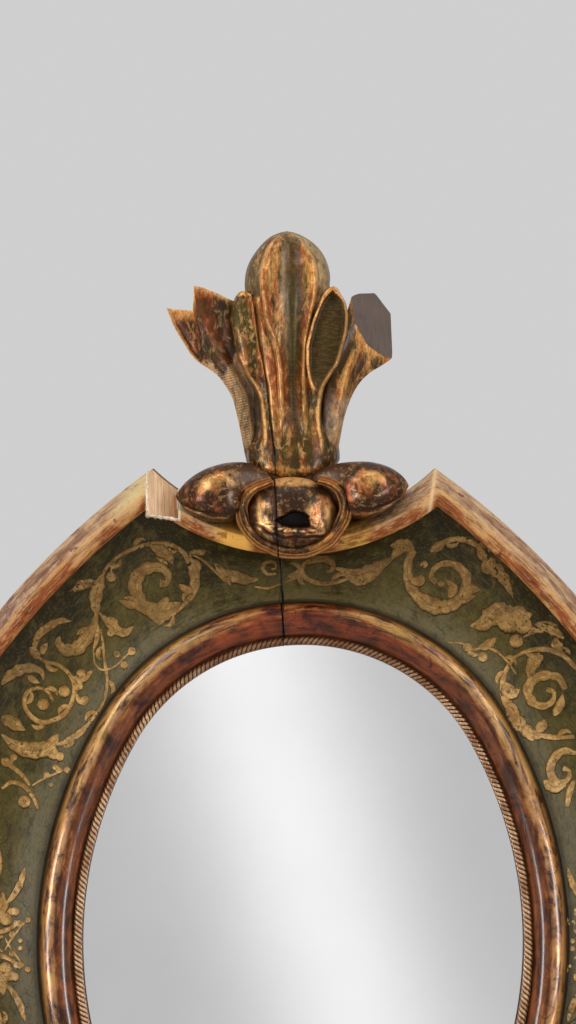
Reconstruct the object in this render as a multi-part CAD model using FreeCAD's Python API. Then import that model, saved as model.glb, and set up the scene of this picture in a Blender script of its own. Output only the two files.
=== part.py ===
import FreeCAD, Part
import math
import os

Vector = FreeCAD.Vector

# An oval wall mirror with a broad cove frame, two ears and a carved crest.
# All sizes are in millimetres. Heights are measured from the centre of the oval and depths
# forward from the wall. The finished pieces are moved so that the origin lies on the wall
# behind the pivot of the hanging ring. The front faces -Y.

# Mirror opening: a four-centre oval at the sight edge
sight_half_width = 194.0
sight_half_height = 263.0
sight_end_radius = 169.0
opening_shift = 8.0  # the opening lies this far right of the crest's axis

# Rope fillet and half-round moulding, from the sight edge outward
rope_width = 8.0
rope_side_height = 1.5
rope_crown_height = 5.5
rope_clearance = 0.3
bead_width = 30.5
moulding_seat = 36.0
ledge_height = 6.0
bead_crown_height = 21.0
bead_outer_height = 11.0

# Glass, rabbets and back boards
lip_thickness = 8.0
lip_setback = 4.0
glass_thickness = 4.0
glass_overlap = 9.0
glass_clearance = 1.0
board_thickness = 10.0
board_overlap = 17.0
board_clearance = 1.0
board_recess = 4.0
plank_gap = 0.6
centre_plank_width = 150.0

# Cove and rim of the frame
cove_inner_depth = 46.0
cove_floor_depth = 33.0
cove_floor_place = 0.42
cove_outer_depth = 57.0
rim_width = 24.5
rim_arris_depth = 45.0
rim_crown_depth = 70.0
rim_crown_place = 14.0
rim_swell = 3.0
rim_lip_swell = 1.0
rim_lip_depth = 65.0
blank_overlap = 60.0  # how far the sawn blank runs in before the opening is cut
blank_allowance = 5.0  # wood behind the wall plane, planed off to make a flat back

# Outline of the frame: an oval with two shoulders that rise to the ears
outline_half_width = 370.0
outline_half_height = 423.0
outline_end_radius = 245.0
shoulder_angle = 36.0
ear_reach = 124.0
ear_height = 417.0
notch_radius = 180.0
seam_place = -9.6
side_seam_height = 0.0
foot_angle = 270.0  # the normal that points straight down
side_angles = (0.0, 180.0)
station_spacing = 22.0  # between the sections that the frame is drawn through
notch_spacing = 14.0

# Broken left ear
break_inner_reach = 101.0
break_outer_depth = 68.0
break_inner_depth = 47.0
break_drop = 44.0

# Seam pegs and dovetail keys
peg_radius = 5.0
peg_length = 60.0
peg_depth = 17.0
top_peg_depth = 46.0
top_peg_setback = 12.0
peg_places = (25.0, 78.0)
key_length = 70.0
key_end_width = 34.0
key_waist_width = 18.0
key_thickness = 9.0
key_place = 52.0

# Batten behind the crest. Its foot and the lower screws are measured from the bottom of the
# notch, its top and the upper screws from the top of the crest block.
batten_width = 46.0
batten_thickness = 12.0
batten_recess = 11.0
batten_drop = 75.5
batten_reach = 135.0
batten_clearance = 0.2
screw_shank_radius = 2.0
screw_head_radius = 4.0
screw_head_height = 2.5
screw_length = 24.0
frame_screw_drop = 15.5
block_screw_rise = 16.5
screw_side_reach = 15.0
plume_screw_rises = (85.0, 119.0)

# Crest block in the notch, with its heights above the bottom of the notch
crest_front_depth = 72.0
block_half_width = 93.0
block_end_rise = 35.5
block_top_half_width = 41.0
block_top_rise = 45.5
glue_gap = 0.2

# Plume: height above the block, half width and front depth of each cross-section,
# then the half width and depth of its flute
plume_sections = (
    (0.0, 39.0, 69.0, 13.0, 3.0),
    (28.0, 36.0, 71.0, 11.0, 5.0),
    (70.0, 33.0, 73.0, 10.5, 6.0),
    (112.0, 33.0, 77.0, 13.0, 7.0),
    (150.0, 36.5, 83.0, 18.0, 8.0),
    (176.0, 37.0, 85.0, 20.0, 8.0),
    (197.0, 28.5, 80.0, 15.0, 6.0),
    (209.0, 15.0, 70.0, 7.0, 3.0),
    (213.0, 6.0, 62.0, 2.5, 1.0),
)
plume_lean = 5.0
plume_side_share = 0.4
plume_swell_place_share = 0.62
plume_swell_share = 0.74
plume_dowel_radius = 6.0
plume_dowel_length = 40.0
plume_dowel_depth = 46.0

# Leaves of the crest. Each row is a cross-section on the leaf's rib: reach from the axis,
# rise above the block, half width, front depth and thickness. The angles give the rib's
# direction at each of them.
pod_sections = (
    (24.0, 22.0, 3.0, 69.0, 14.0),
    (27.0, 44.0, 5.0, 73.0, 18.0),
    (33.0, 68.0, 9.5, 76.0, 22.0),
    (38.5, 98.0, 12.5, 80.0, 26.0),
    (42.0, 128.0, 12.0, 82.0, 26.0),
    (43.0, 147.0, 9.0, 80.0, 22.0),
    (42.5, 157.0, 4.0, 75.0, 14.0),
)
pod_angles = (92.0, 97.0, 100.0, 98.0, 93.0, 88.0, 86.0)
pod_hollow = 3.0
left_leaf_sections = (
    (-28.0, 0.0, 13.0, 56.0, 24.0),
    (-34.0, 46.0, 13.0, 57.0, 24.0),
    (-51.0, 82.0, 18.0, 59.0, 24.0),
    (-74.0, 113.0, 24.0, 63.0, 22.0),
    (-97.0, 155.0, 15.0, 66.0, 16.0),
)
left_leaf_angles = (90.0, 98.0, 120.0, 130.0, 126.0)
right_leaf_sections = (
    (28.0, 0.0, 13.0, 56.0, 24.0),
    (34.0, 46.0, 13.0, 59.0, 26.0),
    (46.0, 77.0, 17.0, 65.0, 30.0),
    (61.0, 107.0, 25.0, 73.0, 34.0),
    (82.0, 129.0, 31.0, 79.0, 39.0),
    (104.0, 141.0, 33.0, 80.0, 41.0),
)
right_leaf_angles = (90.0, 82.0, 62.0, 45.0, 28.0, 26.0)
leaf_hollow = 5.0
leaf_edge_share = 0.6

# The two points of the left leaf, and the saw cut that ends the right one
left_notch = (-85.0, 135.0)
left_outer_tip = (-110.5, 145.5)
left_inner_tip = (-87.0, 163.0)
saw_cut_reach = 49.0
saw_cut_depth = 70.0
saw_cut_slope = 0.8

# Lobes, boss and collar at the foot of the plume, measured from the bottom of the notch
lobe_reach = 65.0
lobe_rise = 29.5
lobe_half_length = 37.0
lobe_radius = 25.5
lobe_tilt = 10.0
boss_rise = 9.5
boss_half_length = 37.0
boss_radius = 27.5
boss_hollow_radius = 15.0
boss_hollow_depth = 9.0
collar_drop = 2.5  # centre of the collar below the centre of the boss
collar_half_width = 45.0
collar_half_height = 28.0
collar_end_radius = 60.0
collar_width = 11.0
collar_side_height = 5.0
collar_crown_height = 10.3

# Hanger, its pivot measured from the top of the crest block
pivot_rise = 27.0
ring_wire_radius = 2.5
ring_leg_half_length = 16.0
ring_bow_radius = 24.0
strap_half_width = 10.0
strap_length = 34.0
strap_thickness = 2.5
pivot_clearance = 0.05
hanger_nail_drops = (13.0, 26.0)
hanger_nail_length = 12.0

# Nails and glue blocks
nail_shank_radius = 1.2
nail_head_radius = 3.0
nail_head_height = 1.2
back_nail_length = 19.0
back_nail_angles = (14, 48, 66, 114, 132, 166, 194, 228, 246, 294, 312, 346)
glue_block_length = 44.0
glue_block_width = 7.0
glue_block_angles = (0, 50, 90, 130, 180, 230, 270, 310)

# Values worked out from the sizes above
seat_edge = rope_width + bead_width
glass_front = moulding_seat - lip_thickness
glass_back = glass_front - glass_thickness
board_front = board_recess + board_thickness
crest_back = batten_recess + batten_thickness
pivot_depth = batten_recess - strap_thickness - ring_wire_radius - pivot_clearance
notch_centre = ear_height + math.sqrt(notch_radius**2 - ear_reach**2)
notch_bottom = notch_centre - notch_radius
break_foot_height = ear_height - break_drop
block_end_height = notch_bottom + block_end_rise
block_top_height = notch_bottom + block_top_rise
lobe_height = notch_bottom + lobe_rise
boss_height = notch_bottom + boss_rise
collar_height = boss_height - collar_drop
batten_foot_height = notch_bottom - batten_drop
batten_top_height = block_top_height + batten_reach
frame_screw_height = notch_bottom - frame_screw_drop
block_screw_height = notch_bottom + block_screw_rise
plume_screw_heights = [block_top_height + rise for rise in plume_screw_rises]
pivot_height = block_top_height + pivot_rise
wall_side = Vector(0, 1, 0)
far = 1500.0


def point(x, z, depth):
    return Vector(x, -depth, z)


def line(start, end):
    return Part.LineSegment(start, end).toShape()


def arc(start, middle, end):
    return Part.Arc(start, middle, end).toShape()


def polygon_face(points):
    return Part.Face(Part.makePolygon(points + points[:1]))


def slab(x_from, x_to, z_from, z_to, depth_from, depth_to):
    corner = point(x_from, z_from, depth_to)
    return Part.makeBox(x_to - x_from, depth_to - depth_from, z_to - z_from, corner)


def rod(start, end, radius):
    return Part.makeCylinder(radius, (end - start).Length, start, end - start)


def between(a, b, share):
    return a + (b - a) * share


class Oval:
    """A four-centre oval: top and bottom arcs of one radius, joined tangent by two side arcs."""

    def __init__(self, half_width, half_height, end_radius, centre_x=0.0, centre_z=0.0):
        rise = half_height - end_radius
        self.centre_x = centre_x
        self.centre_z = centre_z
        self.end_radius = end_radius
        self.rise = rise
        run = half_width - end_radius
        self.side_radius = (half_width**2 + rise**2 - end_radius**2) / (2 * run)
        self.reach = half_width - self.side_radius
        self.join_angle = math.degrees(math.atan2(abs(rise), abs(self.reach)))

    def arc_at(self, angle):
        """Centre and radius of the arc whose outward normal has this angle, in degrees."""
        turn = (angle + 360.0) % 360.0
        join = self.join_angle
        if join < turn < 180.0 - join:
            return self.centre_x, self.centre_z + self.rise, self.end_radius
        if 180.0 + join < turn < 360.0 - join:
            return self.centre_x, self.centre_z - self.rise, self.end_radius
        side = 1.0 if turn <= 90.0 or turn >= 270.0 else -1.0
        return self.centre_x + side * self.reach, self.centre_z, self.side_radius

    def at(self, angle, offset, depth):
        x, z, radius = self.arc_at(angle)
        turn = math.radians(angle)
        return point(x + (radius + offset) * math.cos(turn), z + (radius + offset) * math.sin(turn), depth)

    def angle_of(self, x, z):
        """Normal angle of the oval's nearest point."""
        for centre_z in (self.centre_z + self.rise, self.centre_z - self.rise):
            angle = math.degrees(math.atan2(z - centre_z, x - self.centre_x)) % 360.0
            if self.arc_at(angle)[1] == centre_z and self.rise != 0.0:
                return angle
        side = 1.0 if x > self.centre_x else -1.0
        return math.degrees(math.atan2(z - self.centre_z, x - self.centre_x - side * self.reach)) % 360.0

    def offset_of(self, x, z):
        centre_x, centre_z, radius = self.arc_at(self.angle_of(x, z))
        return math.hypot(x - centre_x, z - centre_z) - radius

    def spans(self):
        join = self.join_angle
        turns = (-join, join, 180.0 - join, 180.0 + join, 360.0 - join)
        return tuple(zip(turns, turns[1:]))

    def prism(self, offset, depth_from, depth_to):
        edges = []
        for start, end in self.spans():
            middle = (start + end) / 2
            x, z, radius = self.arc_at(middle)
            ends = []
            for angle in (start, middle, end):
                turn = math.radians(angle)
                reach = radius + offset
                ends.append(point(x + reach * math.cos(turn), z + reach * math.sin(turn), depth_from))
            edges.append(arc(*ends))
        return Part.Face(Part.Wire(edges)).extrude(Vector(0, depth_from - depth_to, 0))

    def sector(self, profile, start, end):
        """Turn a profile, a function of the start point, about the arc's own centre."""
        x, z, radius = self.arc_at((start + end) / 2)
        turn = math.radians(start)

        def at(offset, depth):
            reach = radius + offset
            return point(x + reach * math.cos(turn), z + reach * math.sin(turn), depth)

        return profile(at).revolve(point(x, z, 0), -wall_side, end - start)

    def ring(self, profile):
        pieces = [self.sector(profile, start, end) for start, end in self.spans()]
        return pieces[0].fuse(pieces[1:]).removeSplitter()


opening = Oval(sight_half_width, sight_half_height, sight_end_radius, opening_shift)
outline = Oval(outline_half_width, outline_half_height, outline_end_radius)
collar_oval = Oval(collar_half_width, collar_half_height, collar_end_radius, 0.0, collar_height)


def shoulder():
    """Centre, radius and ear angle of the arc that leaves the outline oval at the shoulder angle."""
    turn = math.radians(shoulder_angle)
    start = outline.at(shoulder_angle, 0.0, 0.0)
    run_x = ear_reach - start.x
    run_z = ear_height - start.z
    radius = -(run_x**2 + run_z**2) / (2 * (run_x * math.cos(turn) + run_z * math.sin(turn)))
    centre_x = start.x - radius * math.cos(turn)
    centre_z = start.z - radius * math.sin(turn)
    ear_angle = math.degrees(math.atan2(ear_height - centre_z, ear_reach - centre_x))
    return centre_x, centre_z, radius, ear_angle


def crossing(inner, outer, centre_x, centre_z, radius):
    """The point nearest to outer where the line from inner to outer meets a circle."""
    run = outer - inner
    rel_x = inner.x - centre_x
    rel_z = inner.z - centre_z
    a = run.x**2 + run.z**2
    b = 2 * (rel_x * run.x + rel_z * run.z)
    c = rel_x**2 + rel_z**2 - radius**2
    root = math.sqrt(b**2 - 4 * a * c)
    shares = [(-b - root) / (2 * a), (-b + root) / (2 * a)]
    return inner + run * max(share for share in shares if share < 1.0)


def ear_mitre(side):
    """Ear corner, rim corner and the point on the moulding's edge, all on one line."""
    centre_x, centre_z, radius, _ = shoulder()
    ear = point(side * ear_reach, ear_height, 0.0)
    shoulder_rim = radius - rim_width
    notch_rim = notch_radius + rim_width
    gap = math.hypot(centre_x, centre_z - notch_centre)
    along = (shoulder_rim**2 - notch_rim**2 + gap**2) / (2 * gap)
    across = math.sqrt(shoulder_rim**2 - along**2)
    unit_x = -centre_x / gap
    unit_z = (notch_centre - centre_z) / gap
    rim_x = centre_x + along * unit_x + across * unit_z
    rim_z = centre_z + along * unit_z - across * unit_x
    rim = point(side * rim_x, rim_z, 0.0)
    step = rim - ear
    near = 1.0
    distant = ear_height / rim_width
    for _ in range(60):
        share = (near + distant) / 2
        spot = ear + step * share
        if opening.offset_of(spot.x, spot.z) > seat_edge:
            near = share
        else:
            distant = share
    return ear, rim, ear + step * near


def frame_section(inner, outer, rim):
    """Closed cross-section of the frame from the moulding's edge out to the rim."""
    length = (outer - inner).Length
    rim_start = (rim - inner).Length
    stretch = (length - rim_start) / rim_width
    along = (outer - inner) * (1.0 / length)
    crown = length - rim_crown_place * stretch

    def at(reach, depth):
        return inner + along * reach + point(0, 0, depth)

    inner_back = at(-blank_overlap, -blank_allowance)
    outer_back = at(length, -blank_allowance)
    arris = at(length, rim_arris_depth)
    crown_top = at(crown, rim_crown_depth)
    swell = at((length + crown) / 2, (rim_arris_depth + rim_crown_depth) / 2 + rim_swell)
    lip = at(rim_start, rim_lip_depth)
    lip_swell = at((crown + rim_start) / 2, (rim_crown_depth + rim_lip_depth) / 2 + rim_lip_swell)
    cove_outer = at(rim_start, cove_outer_depth)
    cove_floor = at(rim_start * cove_floor_place, cove_floor_depth)
    cove_inner = at(0.0, cove_inner_depth)
    inner_top = at(-blank_overlap, cove_inner_depth)
    return Part.Wire([
        line(inner_back, outer_back),
        line(outer_back, arris),
        arc(arris, swell, crown_top),
        arc(crown_top, lip_swell, lip),
        line(lip, cove_outer),
        arc(cove_outer, cove_floor, cove_inner),
        line(cove_inner, inner_top),
        line(inner_top, inner_back),
    ])


def step_count(length, spacing):
    return max(1, round(length / spacing))


def place_on_runs(runs, lengths, place):
    """The run that holds a place along them all, and the share of that run that lies before it."""
    for run, length in zip(runs, lengths):
        if place <= length:
            return run, place / length
        place -= length
    return runs[-1], 1.0


def side_stations(side):
    """Sections from the ear down to the foot of the frame, on one side."""
    centre_x, centre_z, radius, ear_angle = shoulder()
    ear, ear_rim, ear_inner = ear_mitre(side)
    ear_inner_angle = opening.angle_of(ear_inner.x, ear_inner.z)
    last_angle = foot_angle - 360.0 if side > 0 else foot_angle
    join = outline.join_angle
    runs = (
        (centre_x, centre_z, radius, ear_angle, shoulder_angle),
        (outline.reach, 0.0, outline.side_radius, shoulder_angle, -join),
        (0.0, -outline.rise, outline.end_radius, -join, foot_angle - 360.0),
    )
    lengths = [run[2] * math.radians(run[3] - run[4]) for run in runs]
    total = sum(lengths)
    count = step_count(total, station_spacing)
    sections = [frame_section(ear_inner, ear, ear_rim)]
    for step in range(1, count + 1):
        run, share = place_on_runs(runs, lengths, total * step / count)
        run_x, run_z, run_radius, start, end = run
        turn = math.radians(between(start, end, share))
        outer_x = side * (run_x + run_radius * math.cos(turn))
        outer = point(outer_x, run_z + run_radius * math.sin(turn), 0.0)
        inner = opening.at(between(ear_inner_angle, last_angle, step / count), seat_edge, 0.0)
        rim = crossing(inner, outer, side * run_x, run_z, run_radius - rim_width)
        sections.append(frame_section(inner, outer, rim))
    return sections


def notch_stations():
    """Sections across the hollow notch, from the left ear to the right ear."""
    left_ear, left_rim, left_inner = ear_mitre(-1)
    right_ear, right_rim, right_inner = ear_mitre(1)
    half_angle = math.asin(ear_reach / notch_radius)
    left_angle = opening.angle_of(left_inner.x, left_inner.z)
    right_angle = opening.angle_of(right_inner.x, right_inner.z)
    count = step_count(2 * half_angle * notch_radius, notch_spacing)
    sections = [frame_section(left_inner, left_ear, left_rim)]
    for step in range(1, count):
        share = step / count
        turn = between(-half_angle, half_angle, share)
        outer = point(notch_radius * math.sin(turn), notch_centre - notch_radius * math.cos(turn), 0.0)
        inner = opening.at(between(left_angle, right_angle, share), seat_edge, 0.0)
        rim = crossing(inner, outer, 0.0, notch_centre, notch_radius + rim_width)
        sections.append(frame_section(inner, outer, rim))
    sections.append(frame_section(right_inner, right_ear, right_rim))
    return sections


def frame_blank():
    """The whole frame before it is sawn into segments, with its opening and rabbets."""
    right = side_stations(1)
    left = side_stations(-1)
    sides = Part.makeLoft(right + left[-2::-1], True, True)
    notch = Part.makeLoft(notch_stations(), True, True)
    return cut_opening(sides).fuse(cut_opening(notch).cut(batten_housing()))


def cut_opening(blank):
    """Flat back, sight opening, seat of the moulding, and the rabbets of glass and boards."""
    for cutter in (
        slab(-far, far, -far, far, -far, 0.0),
        opening.prism(lip_setback, 0.0, far),
        opening.prism(seat_edge, moulding_seat, far),
        opening.prism(glass_overlap + glass_clearance, 0.0, glass_front),
        opening.prism(board_overlap + board_clearance, 0.0, board_front),
    ):
        blank = blank.cut(cutter)
    return blank


def batten_housing():
    half = batten_width / 2 + batten_clearance
    return slab(-half, half, batten_foot_height - batten_clearance, ear_height, 0.0, crest_back)


def ear_break():
    """The wedge of wood that is missing from the left ear."""
    corners = [
        point(-ear_reach - rim_width, break_foot_height, break_outer_depth + rim_swell),
        point(-ear_reach, break_foot_height, break_outer_depth),
        point(-break_inner_reach, break_foot_height, break_inner_depth),
        point(-break_inner_reach, break_foot_height, far),
        point(-ear_reach - rim_width, break_foot_height, far),
    ]
    return polygon_face(corners).extrude(Vector(0, 0, far))


def seam_pegs():
    """Round pegs across the four seams of the frame."""
    half = peg_length / 2
    top = notch_bottom - top_peg_setback
    pegs = [rod(point(seam_place - half, top, top_peg_depth), point(seam_place + half, top, top_peg_depth),
                peg_radius)]
    for place in peg_places:
        foot = opening.at(foot_angle, seat_edge + place, peg_depth).z
        pegs.append(rod(point(seam_place - half, foot, peg_depth), point(seam_place + half, foot, peg_depth),
                        peg_radius))
        for angle in side_angles:
            x = opening.at(angle, seat_edge + place, peg_depth).x
            low = side_seam_height - half
            high = side_seam_height + half
            pegs.append(rod(point(x, low, peg_depth), point(x, high, peg_depth), peg_radius))
    return pegs


def butterfly_keys():
    """Flat dovetail keys let into the back across the lower and side seams."""
    half = key_length / 2
    outline_points = [
        (-half, -key_end_width / 2), (0.0, -key_waist_width / 2), (half, -key_end_width / 2),
        (half, key_end_width / 2), (0.0, key_waist_width / 2), (-half, key_end_width / 2),
    ]
    foot = opening.at(foot_angle, seat_edge + key_place, 0.0).z
    keys = [polygon_face([point(seam_place + u, foot + v, 0.0) for u, v in outline_points])]
    for angle in side_angles:
        x = opening.at(angle, seat_edge + key_place, 0.0).x
        keys.append(polygon_face([point(x + v, side_seam_height + u, 0.0) for u, v in outline_points]))
    return [key.extrude(Vector(0, -key_thickness, 0)) for key in keys]


def frame_quarters(cutters):
    body = frame_blank()
    left_half = slab(-far, seam_place, -far, far, -far, far)
    upper_half = slab(-far, far, side_seam_height, far, -far, far)
    left = body.common(left_half)
    right = body.cut(left_half)
    quarters = {
        "frame_upper_left": left.common(upper_half).cut(ear_break()),
        "frame_upper_right": right.common(upper_half),
        "frame_lower_left": left.cut(upper_half),
        "frame_lower_right": right.cut(upper_half),
    }
    return {name: quarter.cut(cutters) for name, quarter in quarters.items()}


def moulding_profile(at):
    """A ledge for the rope, then a half-round bead."""
    ledge = moulding_seat + ledge_height
    crown = moulding_seat + bead_crown_height
    outer = moulding_seat + bead_outer_height
    edges = [
        line(at(0.0, moulding_seat), at(0.0, ledge)),
        line(at(0.0, ledge), at(rope_width, ledge)),
        arc(at(rope_width, ledge), at(rope_width + bead_width / 2, crown), at(seat_edge, outer)),
        line(at(seat_edge, outer), at(seat_edge, moulding_seat)),
        line(at(seat_edge, moulding_seat), at(0.0, moulding_seat)),
    ]
    return Part.Face(Part.Wire(edges))


def rope_profile(at):
    """A half-round strip that lies on the ledge, clear of the bead."""
    foot = moulding_seat + ledge_height
    side = foot + rope_side_height
    width = rope_width - rope_clearance
    edges = [
        line(at(0.0, foot), at(0.0, side)),
        arc(at(0.0, side), at(width / 2, foot + rope_crown_height), at(width, side)),
        line(at(width, side), at(width, foot)),
        line(at(width, foot), at(0.0, foot)),
    ]
    return Part.Face(Part.Wire(edges))


def halves(shape):
    left_half = slab(-far, seam_place, -far, far, -far, far)
    return shape.common(left_half), shape.cut(left_half)


def glue_blocks():
    def profile(at):
        low = glass_overlap - glue_block_width
        return polygon_face([at(low, board_front), at(glass_overlap, board_front),
                             at(glass_overlap, glass_back), at(low, glass_back)])

    blocks = []
    for angle in glue_block_angles:
        swing = math.degrees(glue_block_length / 2 / (opening.arc_at(angle)[2] + glass_overlap))
        blocks.append(opening.sector(profile, angle - swing, angle + swing))
    return blocks


def nail(head, direction, length):
    """A nail with its head's underside at the given point."""
    shank = Part.makeCylinder(nail_shank_radius, length, head, direction)
    cap = Part.makeCone(nail_head_radius, nail_shank_radius, nail_head_height, head, -direction)
    return shank.fuse(cap)


def back_nails():
    middle = (glass_overlap + glass_clearance + board_overlap) / 2
    return [nail(opening.at(angle, middle, board_recess), -wall_side, back_nail_length)
            for angle in back_nail_angles]


def back_planks(nails):
    """Three upright boards in the oval rabbet."""
    board = opening.prism(board_overlap, board_recess, board_front).cut(nails)
    half = centre_plank_width / 2
    inner = half + plank_gap
    left = slab(-far, opening_shift - inner, -far, far, -far, far)
    centre = slab(opening_shift - half, opening_shift + half, -far, far, -far, far)
    right = slab(opening_shift + inner, far, -far, far, -far, far)
    return {
        "back_plank_left": board.common(left),
        "back_plank_centre": board.common(centre),
        "back_plank_right": board.common(right),
    }


def screw(x, z):
    head = point(x, z, batten_recess)
    shank = Part.makeCylinder(screw_shank_radius, screw_length, head, -wall_side)
    cap = Part.makeCone(screw_head_radius, screw_shank_radius, screw_head_height, head, -wall_side)
    return shank.fuse(cap)


def batten_screws():
    screws = []
    for side in (-1, 1):
        for height in (frame_screw_height, block_screw_height):
            screws.append(screw(side * screw_side_reach, height))
    for height in plume_screw_heights:
        screws.append(screw(0.0, height))
    return screws


def crest_batten():
    """A flat board with a rounded top end."""
    half = batten_width / 2
    shoulder_height = batten_top_height - half
    edges = [
        line(point(-half, batten_foot_height, batten_recess), point(half, batten_foot_height, batten_recess)),
        line(point(half, batten_foot_height, batten_recess), point(half, shoulder_height, batten_recess)),
        arc(point(half, shoulder_height, batten_recess), point(0.0, batten_top_height, batten_recess),
            point(-half, shoulder_height, batten_recess)),
        line(point(-half, shoulder_height, batten_recess), point(-half, batten_foot_height, batten_recess)),
    ]
    return Part.Face(Part.Wire(edges)).extrude(Vector(0, -batten_thickness, 0))


def crest_block():
    """A block with its foot scribed to the notch and a flat top for the plume."""
    radius = notch_radius - glue_gap
    end_foot = notch_centre - math.sqrt(radius**2 - block_half_width**2)
    left_foot = point(-block_half_width, end_foot, crest_back)
    right_foot = point(block_half_width, end_foot, crest_back)
    corners = [
        right_foot,
        point(block_half_width, block_end_height, crest_back),
        point(block_top_half_width, block_top_height, crest_back),
        point(-block_top_half_width, block_top_height, crest_back),
        point(-block_half_width, block_end_height, crest_back),
        left_foot,
    ]
    edges = [line(start, end) for start, end in zip(corners, corners[1:])]
    edges.append(arc(left_foot, point(0.0, notch_centre - radius, crest_back), right_foot))
    return Part.Face(Part.Wire(edges)).extrude(Vector(0, crest_back - crest_front_depth, 0))


def plume_section(rise, half_width, front, flute_half, flute_depth):
    """A flat back, swelling shoulders and a hollow flute down the middle."""
    total_rise = plume_sections[-1][0]
    axis = -plume_lean * rise / total_rise
    height = block_top_height + rise
    side_depth = between(crest_back, front, plume_side_share)

    def at(reach, depth):
        return point(axis + reach, height, depth)

    def shoulder_arc(side):
        swell = at(side * between(flute_half, half_width, plume_swell_place_share),
                   between(side_depth, front, plume_swell_share))
        return at(side * half_width, side_depth), swell, at(side * flute_half, front)

    left = shoulder_arc(-1)
    right = shoulder_arc(1)
    back_left = at(-half_width, crest_back)
    back_right = at(half_width, crest_back)
    return Part.Wire([
        line(back_left, left[0]),
        arc(*left),
        arc(left[2], at(0.0, front - flute_depth), right[2]),
        arc(right[2], right[1], right[0]),
        line(right[0], back_right),
        line(back_right, back_left),
    ])


def leaf_section(reach, rise, half_width, front, thickness, rib_angle, hollow):
    """A curved strip across the leaf's rib, hollowed in front and rounded behind."""
    turn = math.radians(rib_angle - 90.0)
    across = Vector(math.cos(turn), 0.0, math.sin(turn))
    centre = point(reach, block_top_height + rise, 0.0)
    left = centre - across * half_width
    right = centre + across * half_width

    def forward(spot, depth):
        return spot + point(0, 0, depth)

    back = front - thickness
    edge_back = front - thickness * leaf_edge_share
    return Part.Wire([
        arc(forward(left, front), forward(centre, front - hollow), forward(right, front)),
        line(forward(right, front), forward(right, edge_back)),
        arc(forward(right, edge_back), forward(centre, back), forward(left, edge_back)),
        line(forward(left, edge_back), forward(left, front)),
    ])


def leaf(rows, rib_angles, hollow):
    wires = [leaf_section(*row, rib_angle, hollow) for row, rib_angle in zip(rows, rib_angles)]
    return Part.makeLoft(wires, True, False)


def crest_plume():
    """The fluted plume with a narrow leaf on each shoulder, from one block of wood."""
    core = Part.makeLoft([plume_section(*row) for row in plume_sections], True, False)
    right_pod = leaf(pod_sections, pod_angles, pod_hollow)
    left_pod = right_pod.mirror(Vector(0, 0, 0), Vector(1, 0, 0))
    return core.fuse([left_pod, right_pod])


def left_leaf():
    """A flared leaf whose end is cut into two points."""
    apex, outer, inner = [point(reach, block_top_height + rise, -far)
                          for reach, rise in (left_notch, left_outer_tip, left_inner_tip)]
    corners = [apex, apex + (outer - apex).normalize() * far, apex + (inner - apex).normalize() * far]
    wedge = polygon_face(corners).extrude(Vector(0, -2 * far, 0))
    return leaf(left_leaf_sections, left_leaf_angles, leaf_hollow).cut(wedge)


def right_leaf():
    """A flared leaf sawn off on a slant."""
    corners = [
        point(saw_cut_reach, -far, saw_cut_depth),
        point(saw_cut_reach + far, -far, saw_cut_depth - far * saw_cut_slope),
        point(saw_cut_reach + far, -far, far),
        point(saw_cut_reach, -far, far),
    ]
    offcut = polygon_face(corners).extrude(Vector(0, 0, 2 * far))
    return leaf(right_leaf_sections, right_leaf_angles, leaf_hollow).cut(offcut)


def half_spheroid(centre, half_length, radius, tilt):
    """The front half of a ball drawn out along a level axis, which the tilt takes off level."""
    middle = Vector(0, 0, 0)
    ball = Part.makeSphere(radius, middle, Vector(1, 0, 0), -90, 90, 180)
    stretch = FreeCAD.Matrix()
    stretch.scale(half_length / radius, 1.0, 1.0)
    solid = ball.transformGeometry(stretch)
    solid.rotate(middle, -wall_side, tilt)
    solid.translate(centre)
    return solid


def crest_boss():
    """A bulging boss with a round hollow in its face."""
    boss = half_spheroid(point(0.0, boss_height, crest_front_depth), boss_half_length, boss_radius, 0.0)
    hollow_depth = crest_front_depth + boss_radius - boss_hollow_depth
    hollow = Part.makeSphere(boss_hollow_radius, point(0.0, boss_height, hollow_depth + boss_hollow_radius))
    return boss.cut(hollow)


def collar_profile(at):
    half = collar_width / 2
    side = crest_front_depth + collar_side_height
    crown = crest_front_depth + collar_crown_height
    edges = [
        line(at(-half, crest_front_depth), at(-half, side)),
        arc(at(-half, side), at(0.0, crown), at(half, side)),
        line(at(half, side), at(half, crest_front_depth)),
        line(at(half, crest_front_depth), at(-half, crest_front_depth)),
    ]
    return Part.Face(Part.Wire(edges))


def crest_lobe(side):
    centre = point(side * lobe_reach, lobe_height, crest_front_depth)
    lobe = half_spheroid(centre, lobe_half_length, lobe_radius, side * -lobe_tilt)
    return lobe.cut(collar_oval.prism(collar_width / 2 + glue_gap, 0.0, far))


def hanging_ring():
    """A bow of round iron whose straight leg turns in the strap's eye."""
    leg_left = point(-ring_leg_half_length, pivot_height, pivot_depth)
    leg_right = point(ring_leg_half_length, pivot_height, pivot_depth)
    drop = math.sqrt(ring_bow_radius**2 - ring_leg_half_length**2)
    centre = point(0.0, pivot_height - drop, pivot_depth)
    start = math.degrees(math.atan2(drop, ring_leg_half_length))
    tangent = (leg_right - centre).cross(wall_side)
    section = Part.Face(Part.Wire(Part.makeCircle(ring_wire_radius, leg_right, tangent)))
    bow = section.revolve(centre, wall_side, 180.0 + 2 * start)
    leg = rod(leg_left, leg_right, ring_wire_radius)
    corners = [Part.makeSphere(ring_wire_radius, leg_left), Part.makeSphere(ring_wire_radius, leg_right)]
    return bow.fuse([leg] + corners)


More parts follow.
